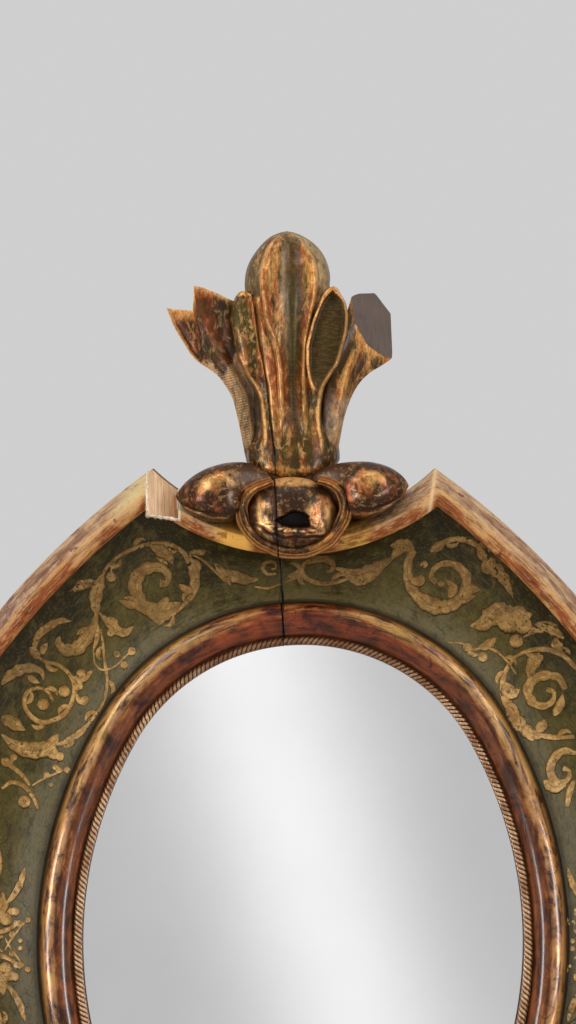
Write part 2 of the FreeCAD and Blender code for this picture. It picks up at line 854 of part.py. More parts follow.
def hanger_strap():
    """A strip of iron rolled into an eye at its top."""
    bore = ring_wire_radius + pivot_clearance
    left = point(-strap_half_width, pivot_height, pivot_depth)
    right = point(strap_half_width, pivot_height, pivot_depth)
    eye = rod(left, right, bore + strap_thickness)
    tongue = slab(-strap_half_width, strap_half_width, pivot_height - strap_length, pivot_height,
                  batten_recess - strap_thickness, batten_recess)
    return eye.fuse(tongue).cut(rod(left, right, bore))


def hanger_nails():
    depth = batten_recess - strap_thickness
    return [nail(point(0.0, pivot_height - drop, depth), -wall_side, hanger_nail_length)
            for drop in hanger_nail_drops]


def build_nodes():
    nodes = {}
    pegs = seam_pegs()
    keys = butterfly_keys()
    nails = back_nails()
    screws = batten_screws()
    strap_nails = hanger_nails()
    dowel = rod(point(0.0, block_top_height - plume_dowel_length / 2, plume_dowel_depth),
                point(0.0, block_top_height + plume_dowel_length / 2, plume_dowel_depth), plume_dowel_radius)

    nodes.update(frame_quarters(pegs + keys + nails + screws))
    nodes["moulding_left"], nodes["moulding_right"] = halves(opening.ring(moulding_profile))
    nodes["rope_fillet_left"], nodes["rope_fillet_right"] = halves(opening.ring(rope_profile))
    nodes["mirror_glass"] = opening.prism(glass_overlap, glass_back, glass_front)
    nodes["glazing_blocks"] = Part.makeCompound(glue_blocks())
    nodes.update(back_planks(nails))
    nodes["back_nails"] = Part.makeCompound(nails)
    nodes["seam_dowels"] = Part.makeCompound(pegs)
    nodes["butterfly_keys"] = Part.makeCompound(keys)

    plume = crest_plume().cut(screws + [dowel])
    boss = crest_boss()
    nodes["crest_block"] = crest_block().cut(screws + [dowel])
    nodes["crest_dowel"] = dowel
    nodes["crest_plume"] = plume
    nodes["crest_leaf_left"] = left_leaf().cut(plume)
    nodes["crest_leaf_right"] = right_leaf().cut(plume)
    nodes["crest_lobe_left"] = crest_lobe(-1)
    nodes["crest_lobe_right"] = crest_lobe(1)
    nodes["crest_boss"] = boss
    nodes["crest_boss_collar"] = collar_oval.ring(collar_profile).cut(boss)
    nodes["crest_batten"] = crest_batten().cut(screws + strap_nails)
    nodes["batten_screws"] = Part.makeCompound(screws)
    nodes["hanger_strap"] = hanger_strap().cut(strap_nails)
    nodes["hanging_ring"] = hanging_ring()
    nodes["hanger_nails"] = Part.makeCompound(strap_nails)
    return nodes


def main():
    os.makedirs("parts", exist_ok=True)
    for name, shape in build_nodes().items():
        shape.translate(Vector(0, 0, -pivot_height))
        print(name, "solids", len(shape.Solids), "volume %.0f" % shape.Volume, "valid", shape.isValid())
        shape.exportStep("parts/%s.step" % name)


main()
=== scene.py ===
import math

import bpy
import numpy as np
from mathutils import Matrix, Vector


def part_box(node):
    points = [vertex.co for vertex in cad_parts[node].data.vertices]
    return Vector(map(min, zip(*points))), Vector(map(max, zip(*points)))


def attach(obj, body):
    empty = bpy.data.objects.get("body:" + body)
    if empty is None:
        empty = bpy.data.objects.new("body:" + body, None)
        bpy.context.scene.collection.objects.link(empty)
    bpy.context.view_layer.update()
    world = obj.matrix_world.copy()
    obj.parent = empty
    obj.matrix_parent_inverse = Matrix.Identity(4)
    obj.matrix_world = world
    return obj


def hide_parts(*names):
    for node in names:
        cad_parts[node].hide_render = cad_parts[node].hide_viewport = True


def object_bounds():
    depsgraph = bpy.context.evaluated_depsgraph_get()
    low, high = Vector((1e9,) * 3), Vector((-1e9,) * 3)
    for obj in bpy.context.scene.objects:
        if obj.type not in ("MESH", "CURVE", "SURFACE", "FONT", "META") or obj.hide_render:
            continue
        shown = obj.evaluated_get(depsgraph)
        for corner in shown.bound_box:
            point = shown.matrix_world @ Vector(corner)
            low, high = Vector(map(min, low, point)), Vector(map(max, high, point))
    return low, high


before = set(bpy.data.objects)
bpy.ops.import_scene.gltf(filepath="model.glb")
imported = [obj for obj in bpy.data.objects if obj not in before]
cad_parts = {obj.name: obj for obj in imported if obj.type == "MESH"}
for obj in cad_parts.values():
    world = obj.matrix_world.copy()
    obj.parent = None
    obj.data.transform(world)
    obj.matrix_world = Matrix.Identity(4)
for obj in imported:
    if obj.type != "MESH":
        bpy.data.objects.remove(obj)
cadLow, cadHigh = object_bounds()

# Shapes are worked out in millimetres, as x, height from the oval's centre and depth
# forward of the wall. toScene turns them into the frame's metres.
glassLow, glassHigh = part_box("mirror_glass")
ovalHeight = (glassLow.z + glassHigh.z) / 2
ovalPlace = (glassLow.x + glassHigh.x) * 500
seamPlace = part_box("moulding_left")[1].x * 1000


def toScene(x, height, depth):
    x, height, depth = np.broadcast_arrays(x, height, depth)
    return np.stack([x / 1000, -depth / 1000, height / 1000 + ovalHeight], -1)


def paint(red, green, blue):
    # a colour as it looks on screen, turned into the linear value that a shader takes
    share = np.array([red, green, blue]) / 255
    linear = np.where(share <= 0.04045, share / 12.92, ((share + 0.055) / 1.055) ** 2.4)
    return (*linear.tolist(), 1)


def paints(**tones):
    return {name: paint(*tone) for name, tone in tones.items()}


def held(value):
    # kept from 0 to 1
    return np.clip(value, 0, 1)


def ease(low, high, value):
    # 0 up to low, 1 from high on, and a cubic without corners between
    share = held((value - low) / (high - low))
    return share * share * (3 - 2 * share)


def between(value, low, high, soft):
    # 1 from low to high, with soft ends
    return ease(low - soft, low + soft, value) * ease(high + soft, high - soft, value)


def band(value, a, b, c, d):
    # rises from a to b and falls from c to d
    return ease(a, b, value) * ease(d, c, value)


def bump(value, centre, width):
    # a bell: e to the power of minus the square of the distance over the width
    return np.exp(-((value - centre) / width) ** 2)


def ripple(*waves):
    # a slow hand-made unevenness: a sum of sines, each given as (phase array, amount)
    return sum(amount * np.sin(phase) for phase, amount in waves)


def smoothRows(table, at, steady=False):
    # each column of the table as a smooth curve over its first column: cubic pieces whose
    # slopes come from the neighbouring rows. A steady curve doesn't swing past its points.
    table = np.asarray(table, float)
    if table[0, 0] > table[-1, 0]:
        table = table[::-1]
    key, values = table[:, 0], table[:, 1:]
    if steady:
        rise = np.diff(values, axis=0) / np.diff(key)[:, None]
        before, after = rise[:-1], rise[1:]
        same = before * after > 0
        middle = np.where(same, 2 * before * after / np.where(same, before + after, 1), 0)
        slopes = np.concatenate([rise[:1], middle, rise[-1:]])
    else:
        slopes = np.gradient(values, key, axis=0)
    k = np.clip(np.searchsorted(key, at, side="right") - 1, 0, len(key) - 2)
    span = (key[k + 1] - key[k])[:, None]
    t = held((at - key[k])[:, None] / span)
    return ((2 * t**3 - 3 * t**2 + 1) * values[k] + (t**3 - 2 * t**2 + t) * span * slopes[k]
            + (3 * t**2 - 2 * t**3) * values[k + 1] + (t**3 - t**2) * span * slopes[k + 1])


def columnsAt(table, at, steady=False):
    # the same curves, each as an upright array
    return [column[:, None] for column in smoothRows(table, at, steady).T]


def stepsOf(line):
    return np.linalg.norm(np.diff(line, axis=0), axis=1)


def runAlong(line):
    # length of the line up to each of its points
    return np.concatenate([[0], np.cumsum(stepsOf(line))])


def headings(line):
    # direction of the line at each point, from the neighbouring points
    way = np.gradient(line, axis=0)
    return way / np.linalg.norm(way, axis=1)[:, None]


def evenPoints(line, count):
    # the line read at even steps of its length, straight between its points
    run = runAlong(line)
    even = np.linspace(0, run[-1], count)
    return np.stack([np.interp(even, run, column) for column in line.T], -1)


def curveThrough(points, count):
    # a smooth curve through the points, read at even steps of its length
    points = np.asarray(points, float)
    run = runAlong(points)
    return evenPoints(smoothRows(np.column_stack([run, points]), np.linspace(0, run[-1], count * 6)), count)


def gridQuads(rows, cols, wrap=False):
    # four-cornered faces between neighbouring rows and columns; a wrapped grid closes on itself
    a, b = np.meshgrid(np.arange(rows - 1), np.arange(cols if wrap else cols - 1), indexing="ij")
    c = (b + 1) % cols
    return np.stack([a * cols + b, a * cols + c, (a + 1) * cols + c, (a + 1) * cols + b], -1).reshape(-1, 4)


noTriangles = np.zeros((0, 3), int)


def spread(marks, shape):
    return {key: np.broadcast_to(value, shape) for key, value in marks.items()}


def tubeMesh(points, marks):
    # rows of closed sections joined into a tube, with a fan of triangles on each end
    rows, cols = points.shape[:2]
    flat = np.concatenate([points.reshape(-1, 3), points[:1].mean(1), points[-1:].mean(1)])
    marks = {key: np.concatenate([value.ravel(), value[:1].mean(1), value[-1:].mean(1)])
             for key, value in spread(marks, (rows, cols)).items()}
    j = np.arange(cols)
    k = (j + 1) % cols
    first = np.stack([np.full(cols, rows * cols), k, j], -1)
    last = np.stack([np.full(cols, rows * cols + 1), (rows - 1) * cols + j, (rows - 1) * cols + k], -1)
    return flat, gridQuads(rows, cols, True), np.concatenate([first, last]), marks


def shellMesh(front, back, marks):
    # a front grid and a back grid of the same size, joined by a wall along their edges
    rows, cols = front.shape[:2]
    count = rows * cols
    quads = gridQuads(rows, cols)
    index = np.arange(count).reshape(rows, cols)
    edge = np.concatenate([index[0, :-1], index[:-1, -1], index[-1, :0:-1], index[:0:-1, 0]])
    after = np.roll(edge, -1)
    wall = np.stack([edge, edge + count, after + count, after], -1)
    flat = np.concatenate([front.reshape(-1, 3), back.reshape(-1, 3)])
    marks = {key: np.tile(value.ravel(), 2) for key, value in spread(marks, (rows, cols)).items()}
    return flat, np.concatenate([quads, quads[:, ::-1] + count, wall]), noTriangles, marks


def joinMeshes(parts):
    # several meshes in one, with their point numbers moved on
    starts = np.concatenate([[0], np.cumsum([len(part[0]) for part in parts])[:-1]])
    flat = np.concatenate([part[0] for part in parts])
    quads, triangles = (np.concatenate([part[i] + start for part, start in zip(parts, starts)]) for i in (1, 2))
    marks = {key: np.concatenate([part[3][key] for part in parts]) for key in parts[0][3]}
    return flat, quads, triangles, marks


def faceOutward(flat, quads, triangles):
    # the signed volume of a closed mesh is positive when its faces point outward
    corners = np.concatenate([quads[:, [0, 1, 2]], quads[:, [0, 2, 3]], triangles])
    a, b, c = (flat[corners[:, i]] - flat.mean(0) for i in range(3))
    if np.einsum("ij,ij->i", a, np.cross(b, c)).sum() < 0:
        return quads[:, ::-1], triangles[:, ::-1]
    return quads, triangles


def makePiece(name, meshParts, materials, closed=True, sharp=None, materialOf=None, replaces=()):
    flat, quads, triangles, marks = meshParts
    if closed:
        quads, triangles = faceOutward(flat, quads, triangles)
    loops = np.concatenate([quads.ravel(), triangles.ravel()]).astype(np.int32)
    totals = np.concatenate([np.full(len(quads), 4), np.full(len(triangles), 3)]).astype(np.int32)
    mesh = bpy.data.meshes.new(name)
    mesh.vertices.add(len(flat))
    mesh.vertices.foreach_set("co", flat.astype(np.float32).ravel())
    mesh.loops.add(len(loops))
    mesh.loops.foreach_set("vertex_index", loops)
    mesh.polygons.add(len(totals))
    mesh.polygons.foreach_set("loop_start", (np.cumsum(totals) - totals).astype(np.int32))
    mesh.polygons.foreach_set("loop_total", totals)
    for material in materials:
        mesh.materials.append(material)
    if materialOf is not None:
        mesh.polygons.foreach_set("material_index", materialOf.astype(np.int32))
    mesh.update(calc_edges=True)
    mesh.validate()
    mesh.shade_smooth()
    if sharp:
        mesh.set_sharp_from_angle(angle=math.radians(sharp))
    for key, value in marks.items():
        mesh.attributes.new(key, "FLOAT", "POINT").data.foreach_set("value", value.astype(np.float32))
    piece = bpy.data.objects.new(name, mesh)
    bpy.context.scene.collection.objects.link(piece)
    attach(piece, "mirror")
    if replaces:
        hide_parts(*replaces)
    return piece


# Nodes. A wire is a node's output, so that sums in a shader are written like any other sums.
class Wire:
    def __init__(self, socket):
        self.socket, self.tree = socket, socket.id_data

    def __add__(self, other):
        return calc("ADD", self, other)

    def __radd__(self, other):
        return calc("ADD", other, self)

    def __sub__(self, other):
        return calc("SUBTRACT", self, other)

    def __rsub__(self, other):
        return calc("SUBTRACT", other, self)

    def __mul__(self, other):
        return calc("MULTIPLY", self, other)

    def __abs__(self):
        return calc("ABSOLUTE", self)


def plug(socket, value):
    # links a wire to a socket, or sets a constant on it
    if isinstance(value, Wire):
        value.tree.links.new(value.socket, socket)
    else:
        socket.default_value = value


def addNode(tree, kind, inputs=None, output=0, **settings):
    made = tree.nodes.new(kind)
    for key, value in settings.items():
        setattr(made, key, value)
    for key, value in (inputs or {}).items():
        plug(made.inputs[key], value)
    return Wire(made.outputs[output])


def calc(kind, *terms, clamp=False):
    tree = next(term.tree for term in terms if isinstance(term, Wire))
    return addNode(tree, "ShaderNodeMath", dict(enumerate(terms)), operation=kind, use_clamp=clamp)


def mixed(share, a, b):
    return addNode(share.tree, "ShaderNodeMix", {0: share, 6: a, 7: b}, 2, data_type="RGBA")


def layered(colour, *layers):
    # tints laid over a colour in turn, each with the share that it covers
    for share, tint in layers:
        colour = mixed(share, colour, tint)
    return colour


def ramp(value, low, high, start=0, end=1):
    inputs = {"Value": value, "From Min": low, "From Max": high, "To Min": start, "To Max": end}
    return addNode(value.tree, "ShaderNodeMapRange", inputs, interpolation_type="SMOOTHSTEP")


def noise(vector, scale, detail=5, rough=0.6, warp=0):
    inputs = {"Vector": vector, "Scale": scale, "Detail": detail, "Roughness": rough, "Distortion": warp}
    return addNode(vector.tree, "ShaderNodeTexNoise", inputs)


def stretched(vector, scale):
    return addNode(vector.tree, "ShaderNodeMapping", {"Vector": vector, "Scale": scale})


def axes(vector):
    split = addNode(vector.tree, "ShaderNodeSeparateXYZ", {0: vector}).socket.node
    return [Wire(socket) for socket in split.outputs]


def flatPlace(across, up):
    return addNode(across.tree, "ShaderNodeCombineXYZ", {0: across, 1: up, 2: 0})


def place(tree):
    return addNode(tree, "ShaderNodeTexCoord", output="Object")


def mark(where, name):
    return addNode(where.tree, "ShaderNodeAttribute", output="Fac", attribute_name=name)


def newGroup(name, outputs, **inputs):
    # a group's inputs are a vector for none, a colour for four numbers and otherwise a number
    group = bpy.data.node_groups.new(name, "ShaderNodeTree")
    for label, value in inputs.items():
        kind = "Vector" if value is None else "Color" if isinstance(value, tuple) else "Float"
        socket = group.interface.new_socket(label, in_out="INPUT", socket_type="NodeSocket" + kind)
        if value is not None:
            socket.default_value = value
    for label in outputs:
        kind = "Color" if label == "colour" else "Float"
        group.interface.new_socket(label, in_out="OUTPUT", socket_type="NodeSocket" + kind)
    given = group.nodes.new("NodeGroupInput").outputs
    return group, *(Wire(given[label]) for label in inputs)


def closeGroup(group, **results):
    end = group.nodes.new("NodeGroupOutput")
    for label, value in results.items():
        plug(end.inputs[label], value)
    return group


def placeGroup(group, output, vector, **inputs):
    # one output, or a list of several from the same node
    first = addNode(vector.tree, "ShaderNodeGroup", {"vector": vector, **inputs}, node_tree=group)
    outputs = first.socket.node.outputs
    return Wire(outputs[output]) if isinstance(output, str) else [Wire(outputs[label]) for label in output]


def newMaterial(name):
    # a material, the place on the object that its patterns read, and its shader
    material = bpy.data.materials.new(name)
    material.use_nodes = True
    shader = next(n for n in material.node_tree.nodes if n.type == "BSDF_PRINCIPLED")
    return material, place(material.node_tree), shader


shaderSockets = {"colour": "Base Color", "roughness": "Roughness", "metallic": "Metallic",
                 "coat": "Coat Weight", "coatRoughness": "Coat Roughness", "specular": "Specular IOR Level"}


def setShader(shader, height=None, strength=0.3, reach=0.001, **values):
    for key, value in values.items():
        plug(shader.inputs[shaderSockets[key]], value)
    if height is not None:
        bumps = {"Height": height, "Strength": strength, "Distance": reach}
        plug(shader.inputs["Normal"], addNode(height.tree, "ShaderNodeBump", bumps))


# Fine network of cracks: thin lines between the cells of a warped cell pattern
def makeCrackle():
    group, vector, scale, width = newGroup("crackle", ["lines"], vector=None, scale=200, width=0.05)
    cloud = addNode(group, "ShaderNodeTexNoise", {"Vector": vector, "Scale": 60}, "Color")
    shift = addNode(group, "ShaderNodeVectorMath", {0: cloud, "Scale": 0.006}, operation="SCALE")
    bent = addNode(group, "ShaderNodeVectorMath", {0: vector, 1: shift}, operation="ADD")
    cells = addNode(group, "ShaderNodeTexVoronoi", {"Vector": bent, "Scale": scale}, feature="DISTANCE_TO_EDGE")
    line = ramp(cells, 0, width, 1, 0)
    return closeGroup(group, lines=line * ramp(noise(vector, 90, 3), 0.42, 0.62))


# The open joint down the middle: a dark line at a place that leans with the height
def makeJointLine():
    group, vector, spot, height, lean, width = newGroup(
        "jointLine", ["line"], vector=None, spot=0, height=0, lean=0, width=0.001)
    x, _, z = axes(vector)
    wander = (noise(vector, 60, 4) - 0.5) * 0.003
    off = abs(x - (spot + (z - height) * lean + wander))
    return closeGroup(group, line=ramp(off, width * 0.35, width, 1, 0))


# Old gilding: gold on what stands proud, red bole where it is rubbed, brown in the hollows as
# painted shade, and dull grey film in patches
def makeAgedGilt():
    tones = paints(gold=(196, 150, 88), bole=(160, 74, 34), dark=(70, 50, 24), dull=(120, 100, 84))
    group, vector, wear, hollow, scale, bias, boleBias, dullBias, gold, bole, dark, film = newGroup(
        "agedGilt", ["colour", "roughness", "gilt", "height"], vector=None, wear=0, hollow=0, scale=40,
        bias=0, boleBias=0, dullBias=0, **tones)
    broad = noise(vector, scale, 6, 0.62, 0.6)
    streak = noise(stretched(vector, (1, 1, 0.32)), scale * 3.4, 7, 0.66)
    fine = noise(vector, scale * 16, 4, 0.6)
    patches = noise(vector, scale * 1.5, 4, 0.55, 1)
    # less gold where the hollow mark lies: painted shade in the recesses
    gilt = ramp(broad * 0.5 + streak * 0.5 + wear * 0.26 - hollow * 0.3 + bias, 0.44, 0.6)
    red = ramp(streak + wear * 0.12 + boleBias, 0.54, 0.68) * ramp(fine, 0.3, 0.55)
    dull = ramp(patches + dullBias, 0.5, 0.64) * calc("SUBTRACT", 1, wear * 0.9, clamp=True)
    colour = layered(mixed(gilt, dark, gold), (red * 0.85, bole), (dull * 0.75, film),
                     (ramp(fine, 0.6, 0.72) * 0.55, dark))
    return closeGroup(group, colour=colour, roughness=0.22 + fine * 0.22 + dull * 0.16, gilt=gilt,
                      height=streak * 0.6 + fine * 0.4)


# Bare softwood: long streaks along the grain, with darker growth lines
def makeWoodGrain():
    tones = paints(light=(168, 130, 92), deep=(104, 72, 46), stain=(58, 42, 30))
    group, vector, age, light, deep, stain = newGroup(
        "woodGrain", ["colour", "height"], vector=None, age=0.4, **tones)
    line = noise(vector, 520, 5, 0.6, 0.4)
    broad = noise(vector, 40, 4, 0.6, 0.8)
    colour = mixed(ramp(line * 0.6 + broad * 0.4, 0.36, 0.66), deep, light)
    stained = ramp(noise(vector, 14, 5), 0.45, 0.7) * age
    return closeGroup(group, colour=mixed(stained, colour, stain), height=line)


crackle = makeCrackle()
jointLine = makeJointLine()
agedGilt = makeAgedGilt()
woodGrain = makeWoodGrain()


# Aged softwood, with dark lines where boards meet and a few worm holes. A line is an axis and its place.
woodDirt = paints(joint=(34, 22, 14), hole=(36, 24, 16))


def makeWood(name, light, deep, grain, age, lines=(), worm=False):
    material, where, shader = newMaterial(name)
    colour, fibre = placeGroup(woodGrain, ["colour", "height"], stretched(where, grain), light=paint(*light),
                               deep=paint(*deep), age=age)
    height, split = fibre, axes(where)
    for axis, middle in lines:
        line = ramp(abs(split[axis] - middle), 0.0005, 0.0013, 0.85, 0)
        colour = mixed(line, colour, woodDirt["joint"])
    if worm:
        holes = ramp(noise(where, 330, 1, 0.3), 0.8, 0.82)
        colour = mixed(holes, colour, woodDirt["hole"])
        height = fibre - holes * 2
    setShader(shader, height, 0.35, 0.0007, colour=colour, roughness=0.58 + fibre * 0.25, specular=0.2)
    return material


upright, level = (1, 1, 0.06), (0.06, 1, 1)  # how far a grain is drawn out along each axis
print("node groups ready")


# The painted front of the frame
frameShape = {
    "sight": (194, 263, 169),  # half width, half height and end radius of the opening
    "outline": (370, 423, 245), "seatEdge": 38.5, "rimWidth": 24.5, "shoulderAngle": 36,
    "earReach": 124, "earHeight": 417, "notchRadius": 180,
    "coveInner": 46, "coveFloor": 33, "coveFloorPlace": 0.42, "coveOuter": 57,
    "rimLip": 65, "rimCrown": 70, "rimCrownPlace": 14, "rimSwell": 3, "lipSwell": 1, "rimArris": 45,
    "skin": 1, "skinThickness": 0.8, "skinStart": 0.3, "wallEnd": 2, "jointGap": 0.7, "step": 2,
    "coveSteps": 46, "rimSteps": 15, "lipSteps": 4, "wallSteps": 6,
    "mitre": (0.16, 42, 1.6),  # lean, length and width of the pale line painted below each ear as the highlight on the mitre's edge
}


def ovalParts(size):
    # the side arc touches the end arc where the two centres and the touching point are in line
    halfWidth, halfHeight, endRadius = size
    rise = halfHeight - endRadius
    sideRadius = (halfWidth**2 + rise**2 - endRadius**2) / (2 * (halfWidth - endRadius))
    reach = halfWidth - sideRadius
    return rise, endRadius, sideRadius, reach, math.atan2(abs(rise), abs(reach))


def ovalPoints(size, turn, offset, middle=0):
    # four-centre oval: the normal's direction picks the end arc or the side arc
    rise, endRadius, sideRadius, reach, join = ovalParts(size)
    onEnd = np.abs(np.sin(turn)) > math.sin(join)
    radius = np.where(onEnd, endRadius, sideRadius) + offset
    x = np.where(onEnd, 0, np.sign(np.cos(turn)) * reach) + radius * np.cos(turn)
    height = np.where(onEnd, np.sign(np.sin(turn)) * rise, 0) + radius * np.sin(turn)
    return np.stack([x + middle, height], -1)


def frameArcs():
    # the shoulder leaves the outline oval on its own tangent and ends at the ear
    s = frameShape
    rise, endRadius, sideRadius, reach, join = ovalParts(s["outline"])
    turn = math.radians(s["shoulderAngle"])
    start = ovalPoints(s["outline"], np.array(turn), 0)
    runX, runZ = s["earReach"] - start[0], s["earHeight"] - start[1]
    radius = -(runX**2 + runZ**2) / (2 * (runX * math.cos(turn) + runZ * math.sin(turn)))
    centre = (start[0] - radius * math.cos(turn), start[1] - radius * math.sin(turn))
    earTurn = math.atan2(s["earHeight"] - centre[1], s["earReach"] - centre[0])
    return np.array([
        (centre[0], centre[1], radius, earTurn, turn),
        (reach, 0, sideRadius, turn, -join),
        (0, -rise, endRadius, -join, -math.pi / 2),
    ])


frameRuns = frameArcs()
notchCentre = frameShape["earHeight"] + math.sqrt(frameShape["notchRadius"]**2 - frameShape["earReach"]**2)
runLengths = frameRuns[:, 2] * (frameRuns[:, 3] - frameRuns[:, 4])


def earLine(side):
    # ear corner and the normal's direction on the opening where the mitre line meets the moulding
    s = frameShape
    cx, cz, radius = frameRuns[0, :3]
    inner, outer = radius - s["rimWidth"], s["notchRadius"] + s["rimWidth"]
    gap = math.hypot(cx, cz - notchCentre)
    along = (inner**2 - outer**2 + gap**2) / (2 * gap)
    across = math.sqrt(inner**2 - along**2)
    ux, uz = -cx / gap, (notchCentre - cz) / gap
    ear = np.array([side * s["earReach"], s["earHeight"]])
    rim = np.array([side * (cx + along * ux + across * uz), cz + along * uz - across * ux])
    step = (rim - ear) / np.linalg.norm(rim - ear)
    rise, endRadius = ovalParts(s["sight"])[:2]
    rel = ear - np.array([ovalPlace, rise])
    b = rel @ step
    reach = -b - math.sqrt(b * b - rel @ rel + (endRadius + s["seatEdge"])**2)
    hit = rel + step * reach
    return math.atan2(hit[1], hit[0]) % (2 * math.pi)


def crossLine(inner, outer, centre, radius, sign):
    # where the line from inner to outer meets the circle that the rim's inner edge lies on
    run = outer - inner
    rel = inner - centre
    a = (run * run).sum(-1)
    b = 2 * (rel * run).sum(-1)
    c = (rel * rel).sum(-1) - radius**2
    return inner + run * ((-b + sign * np.sqrt(b * b - 4 * a * c)) / (2 * a))[:, None]


def sideLines(side, shares):
    # places on the opening, on the outline and on the rim's inner edge, from the ear round to the foot
    ends = np.cumsum(runLengths)
    reached = shares * runLengths.sum()
    k = np.minimum(np.searchsorted(ends, reached), 2)
    x, height, radius, first, last = frameRuns[k].T
    share = (reached - (ends - runLengths)[k]) / runLengths[k]
    turn = first + (last - first) * share
    outer = np.stack([side * (x + radius * np.cos(turn)), height + radius * np.sin(turn)], -1)
    start, end = earLine(side), -math.pi / 2 if side > 0 else 1.5 * math.pi
    inner = ovalPoints(frameShape["sight"], start + (end - start) * shares, frameShape["seatEdge"], ovalPlace)
    centre = np.stack([side * x, height], -1)
    return inner, outer, crossLine(inner, outer, centre, radius - frameShape["rimWidth"], 1)


def notchLines(shares):
    # the same three places across the notch, from the left ear to the right one
    s = frameShape
    half = math.asin(s["earReach"] / s["notchRadius"])
    turn = -half + 2 * half * shares
    outer = np.stack([s["notchRadius"] * np.sin(turn), notchCentre - s["notchRadius"] * np.cos(turn)], -1)
    onOval = earLine(-1) + (earLine(1) - earLine(-1)) * shares
    inner = ovalPoints(s["sight"], onOval, s["seatEdge"], ovalPlace)
    centre = np.array([0, notchCentre])
    return inner, outer, crossLine(inner, outer, centre, s["notchRadius"] + s["rimWidth"], -1)


def arcThrough(a, m, b, shares):
    # points on the circle through a, m and b, from a by way of m to b
    (ax, ad), (mx, md), (bx, bd) = a, m, b
    d = 2 * (ax * (md - bd) + mx * (bd - ad) + bx * (ad - md))
    sa, sm, sb = ax**2 + ad**2, mx**2 + md**2, bx**2 + bd**2
    ux = (sa * (md - bd) + sm * (bd - ad) + sb * (ad - md)) / d
    ud = (sa * (bx - mx) + sm * (ax - bx) + sb * (mx - ax)) / d
    radius = np.hypot(ax - ux, ad - ud)
    ta = np.arctan2(ad - ud, ax - ux)
    toM = (np.arctan2(md - ud, mx - ux) - ta) % (2 * math.pi)
    toB = (np.arctan2(bd - ud, bx - ux) - ta) % (2 * math.pi)
    turn = ta[:, None] + np.where(toM < toB, toB, toB - 2 * math.pi)[:, None] * shares
    return ux[:, None] + radius[:, None] * np.cos(turn), ud[:, None] + radius[:, None] * np.sin(turn)


def frontSheet(lines):
    # the frame's section swept along its lines: cove, small step, rim and outer wall, raised by the
    # thickness of the gesso
    s = frameShape
    inner, outer, rim = lines
    one = np.ones(len(inner))
    length = np.linalg.norm(outer - inner, axis=1)
    rimStart = np.linalg.norm(rim - inner, axis=1)
    stretch = (length - rimStart) / s["rimWidth"]
    crown = length - s["rimCrownPlace"] * stretch
    coveShares, rimShares = np.linspace(0, 1, s["coveSteps"]), np.linspace(0, 1, s["rimSteps"])[1:]

    def straightUp(reach, low, high, count):
        depth = np.linspace(low, high, count + 1)[1:]
        return np.repeat(reach[:, None], count, 1), np.broadcast_to(depth, (len(reach), count))

    lipMiddle = (s["rimLip"] + s["rimCrown"]) / 2 + s["lipSwell"]
    slopeMiddle = (s["rimCrown"] + s["rimArris"]) / 2 + s["rimSwell"]
    parts = [
        arcThrough((0 * one, s["coveInner"] * one), (rimStart * s["coveFloorPlace"], s["coveFloor"] * one),
                   (rimStart, s["coveOuter"] * one), coveShares),
        straightUp(rimStart, s["coveOuter"], s["rimLip"], s["lipSteps"]),
        arcThrough((rimStart, s["rimLip"] * one), ((rimStart + crown) / 2, lipMiddle * one),
                   (crown, s["rimCrown"] * one), rimShares),
        arcThrough((crown, s["rimCrown"] * one), ((crown + length) / 2, slopeMiddle * one),
                   (length, s["rimArris"] * one), rimShares),
        straightUp(length, s["rimArris"], s["wallEnd"], s["wallSteps"]),
    ]
    reach, depth = (np.concatenate([part[i] for part in parts], 1) for i in (0, 1))
    tr, td = np.gradient(reach, axis=1), np.gradient(depth, axis=1)
    size = np.hypot(tr, td)
    reach, depth = reach - td / size * s["skin"], depth + tr / size * s["skin"]
    reach[:, 0] = s["skinStart"]
    unit = (outer - inner) / length[:, None]
    flat = inner[:, None, :] + unit[:, None, :] * reach[..., None]
    # 0 to 1 across the cove, to 1.5 at the rim's crown, to 2 at its arris and to 3 down the wall
    share = np.concatenate([coveShares, np.full(s["lipSteps"], 1.05), 1.1 + 0.4 * rimShares,
                            1.5 + 0.5 * rimShares, 2 + np.linspace(0, 1, s["wallSteps"] + 1)[1:]])
    return flat[..., 0], flat[..., 1], depth, np.broadcast_to(share, depth.shape)


def shareWhere(lines, axis, value):
    # share along the lines at which their outer ends pass a place
    shares = np.linspace(0, 1, 4001)
    return shares[np.abs(lines(shares)[1][:, axis] - value).argmin()]


def quarterLines(side, upper):
    # the lines of one quarter of the frame, with half the joint's gap left open at each seam
    s = frameShape
    total, gap = runLengths.sum(), s["jointGap"] / 2
    seam = shareWhere(lambda shares: sideLines(side, shares), 1, 0)
    if not upper:
        return sideLines(side, np.linspace(seam + gap / total, 1, int(total * (1 - seam) / s["step"])))
    notchLength = 2 * s["notchRadius"] * math.asin(s["earReach"] / s["notchRadius"])
    top = shareWhere(notchLines, 0, seamPlace) + side * gap / notchLength
    end = 1 if side > 0 else 0
    across = notchLines(np.linspace(top, end, int(notchLength / 2 / s["step"] * 1.4)))
    down = sideLines(side, np.linspace(0, seam - gap / total, int(total * seam / s["step"]))[1:])
    return tuple(np.concatenate([a, b]) for a, b in zip(across, down))


earBreak = {"inner": (-101, 47), "outer": (-124, 68), "left": -128, "foot": 373, "footSlope": 0.16,
            "jag": 0.5, "snap": 1.2, "paleEdge": 2.6, "lastShare": 2.2}


def breakDepth(x):
    # depth of the broken wood, a plane that falls from the ear towards the crest
    (xi, di), (xo, do) = earBreak["inner"], earBreak["outer"]
    return di + (do - di) * (xi - x) / (xi - xo)


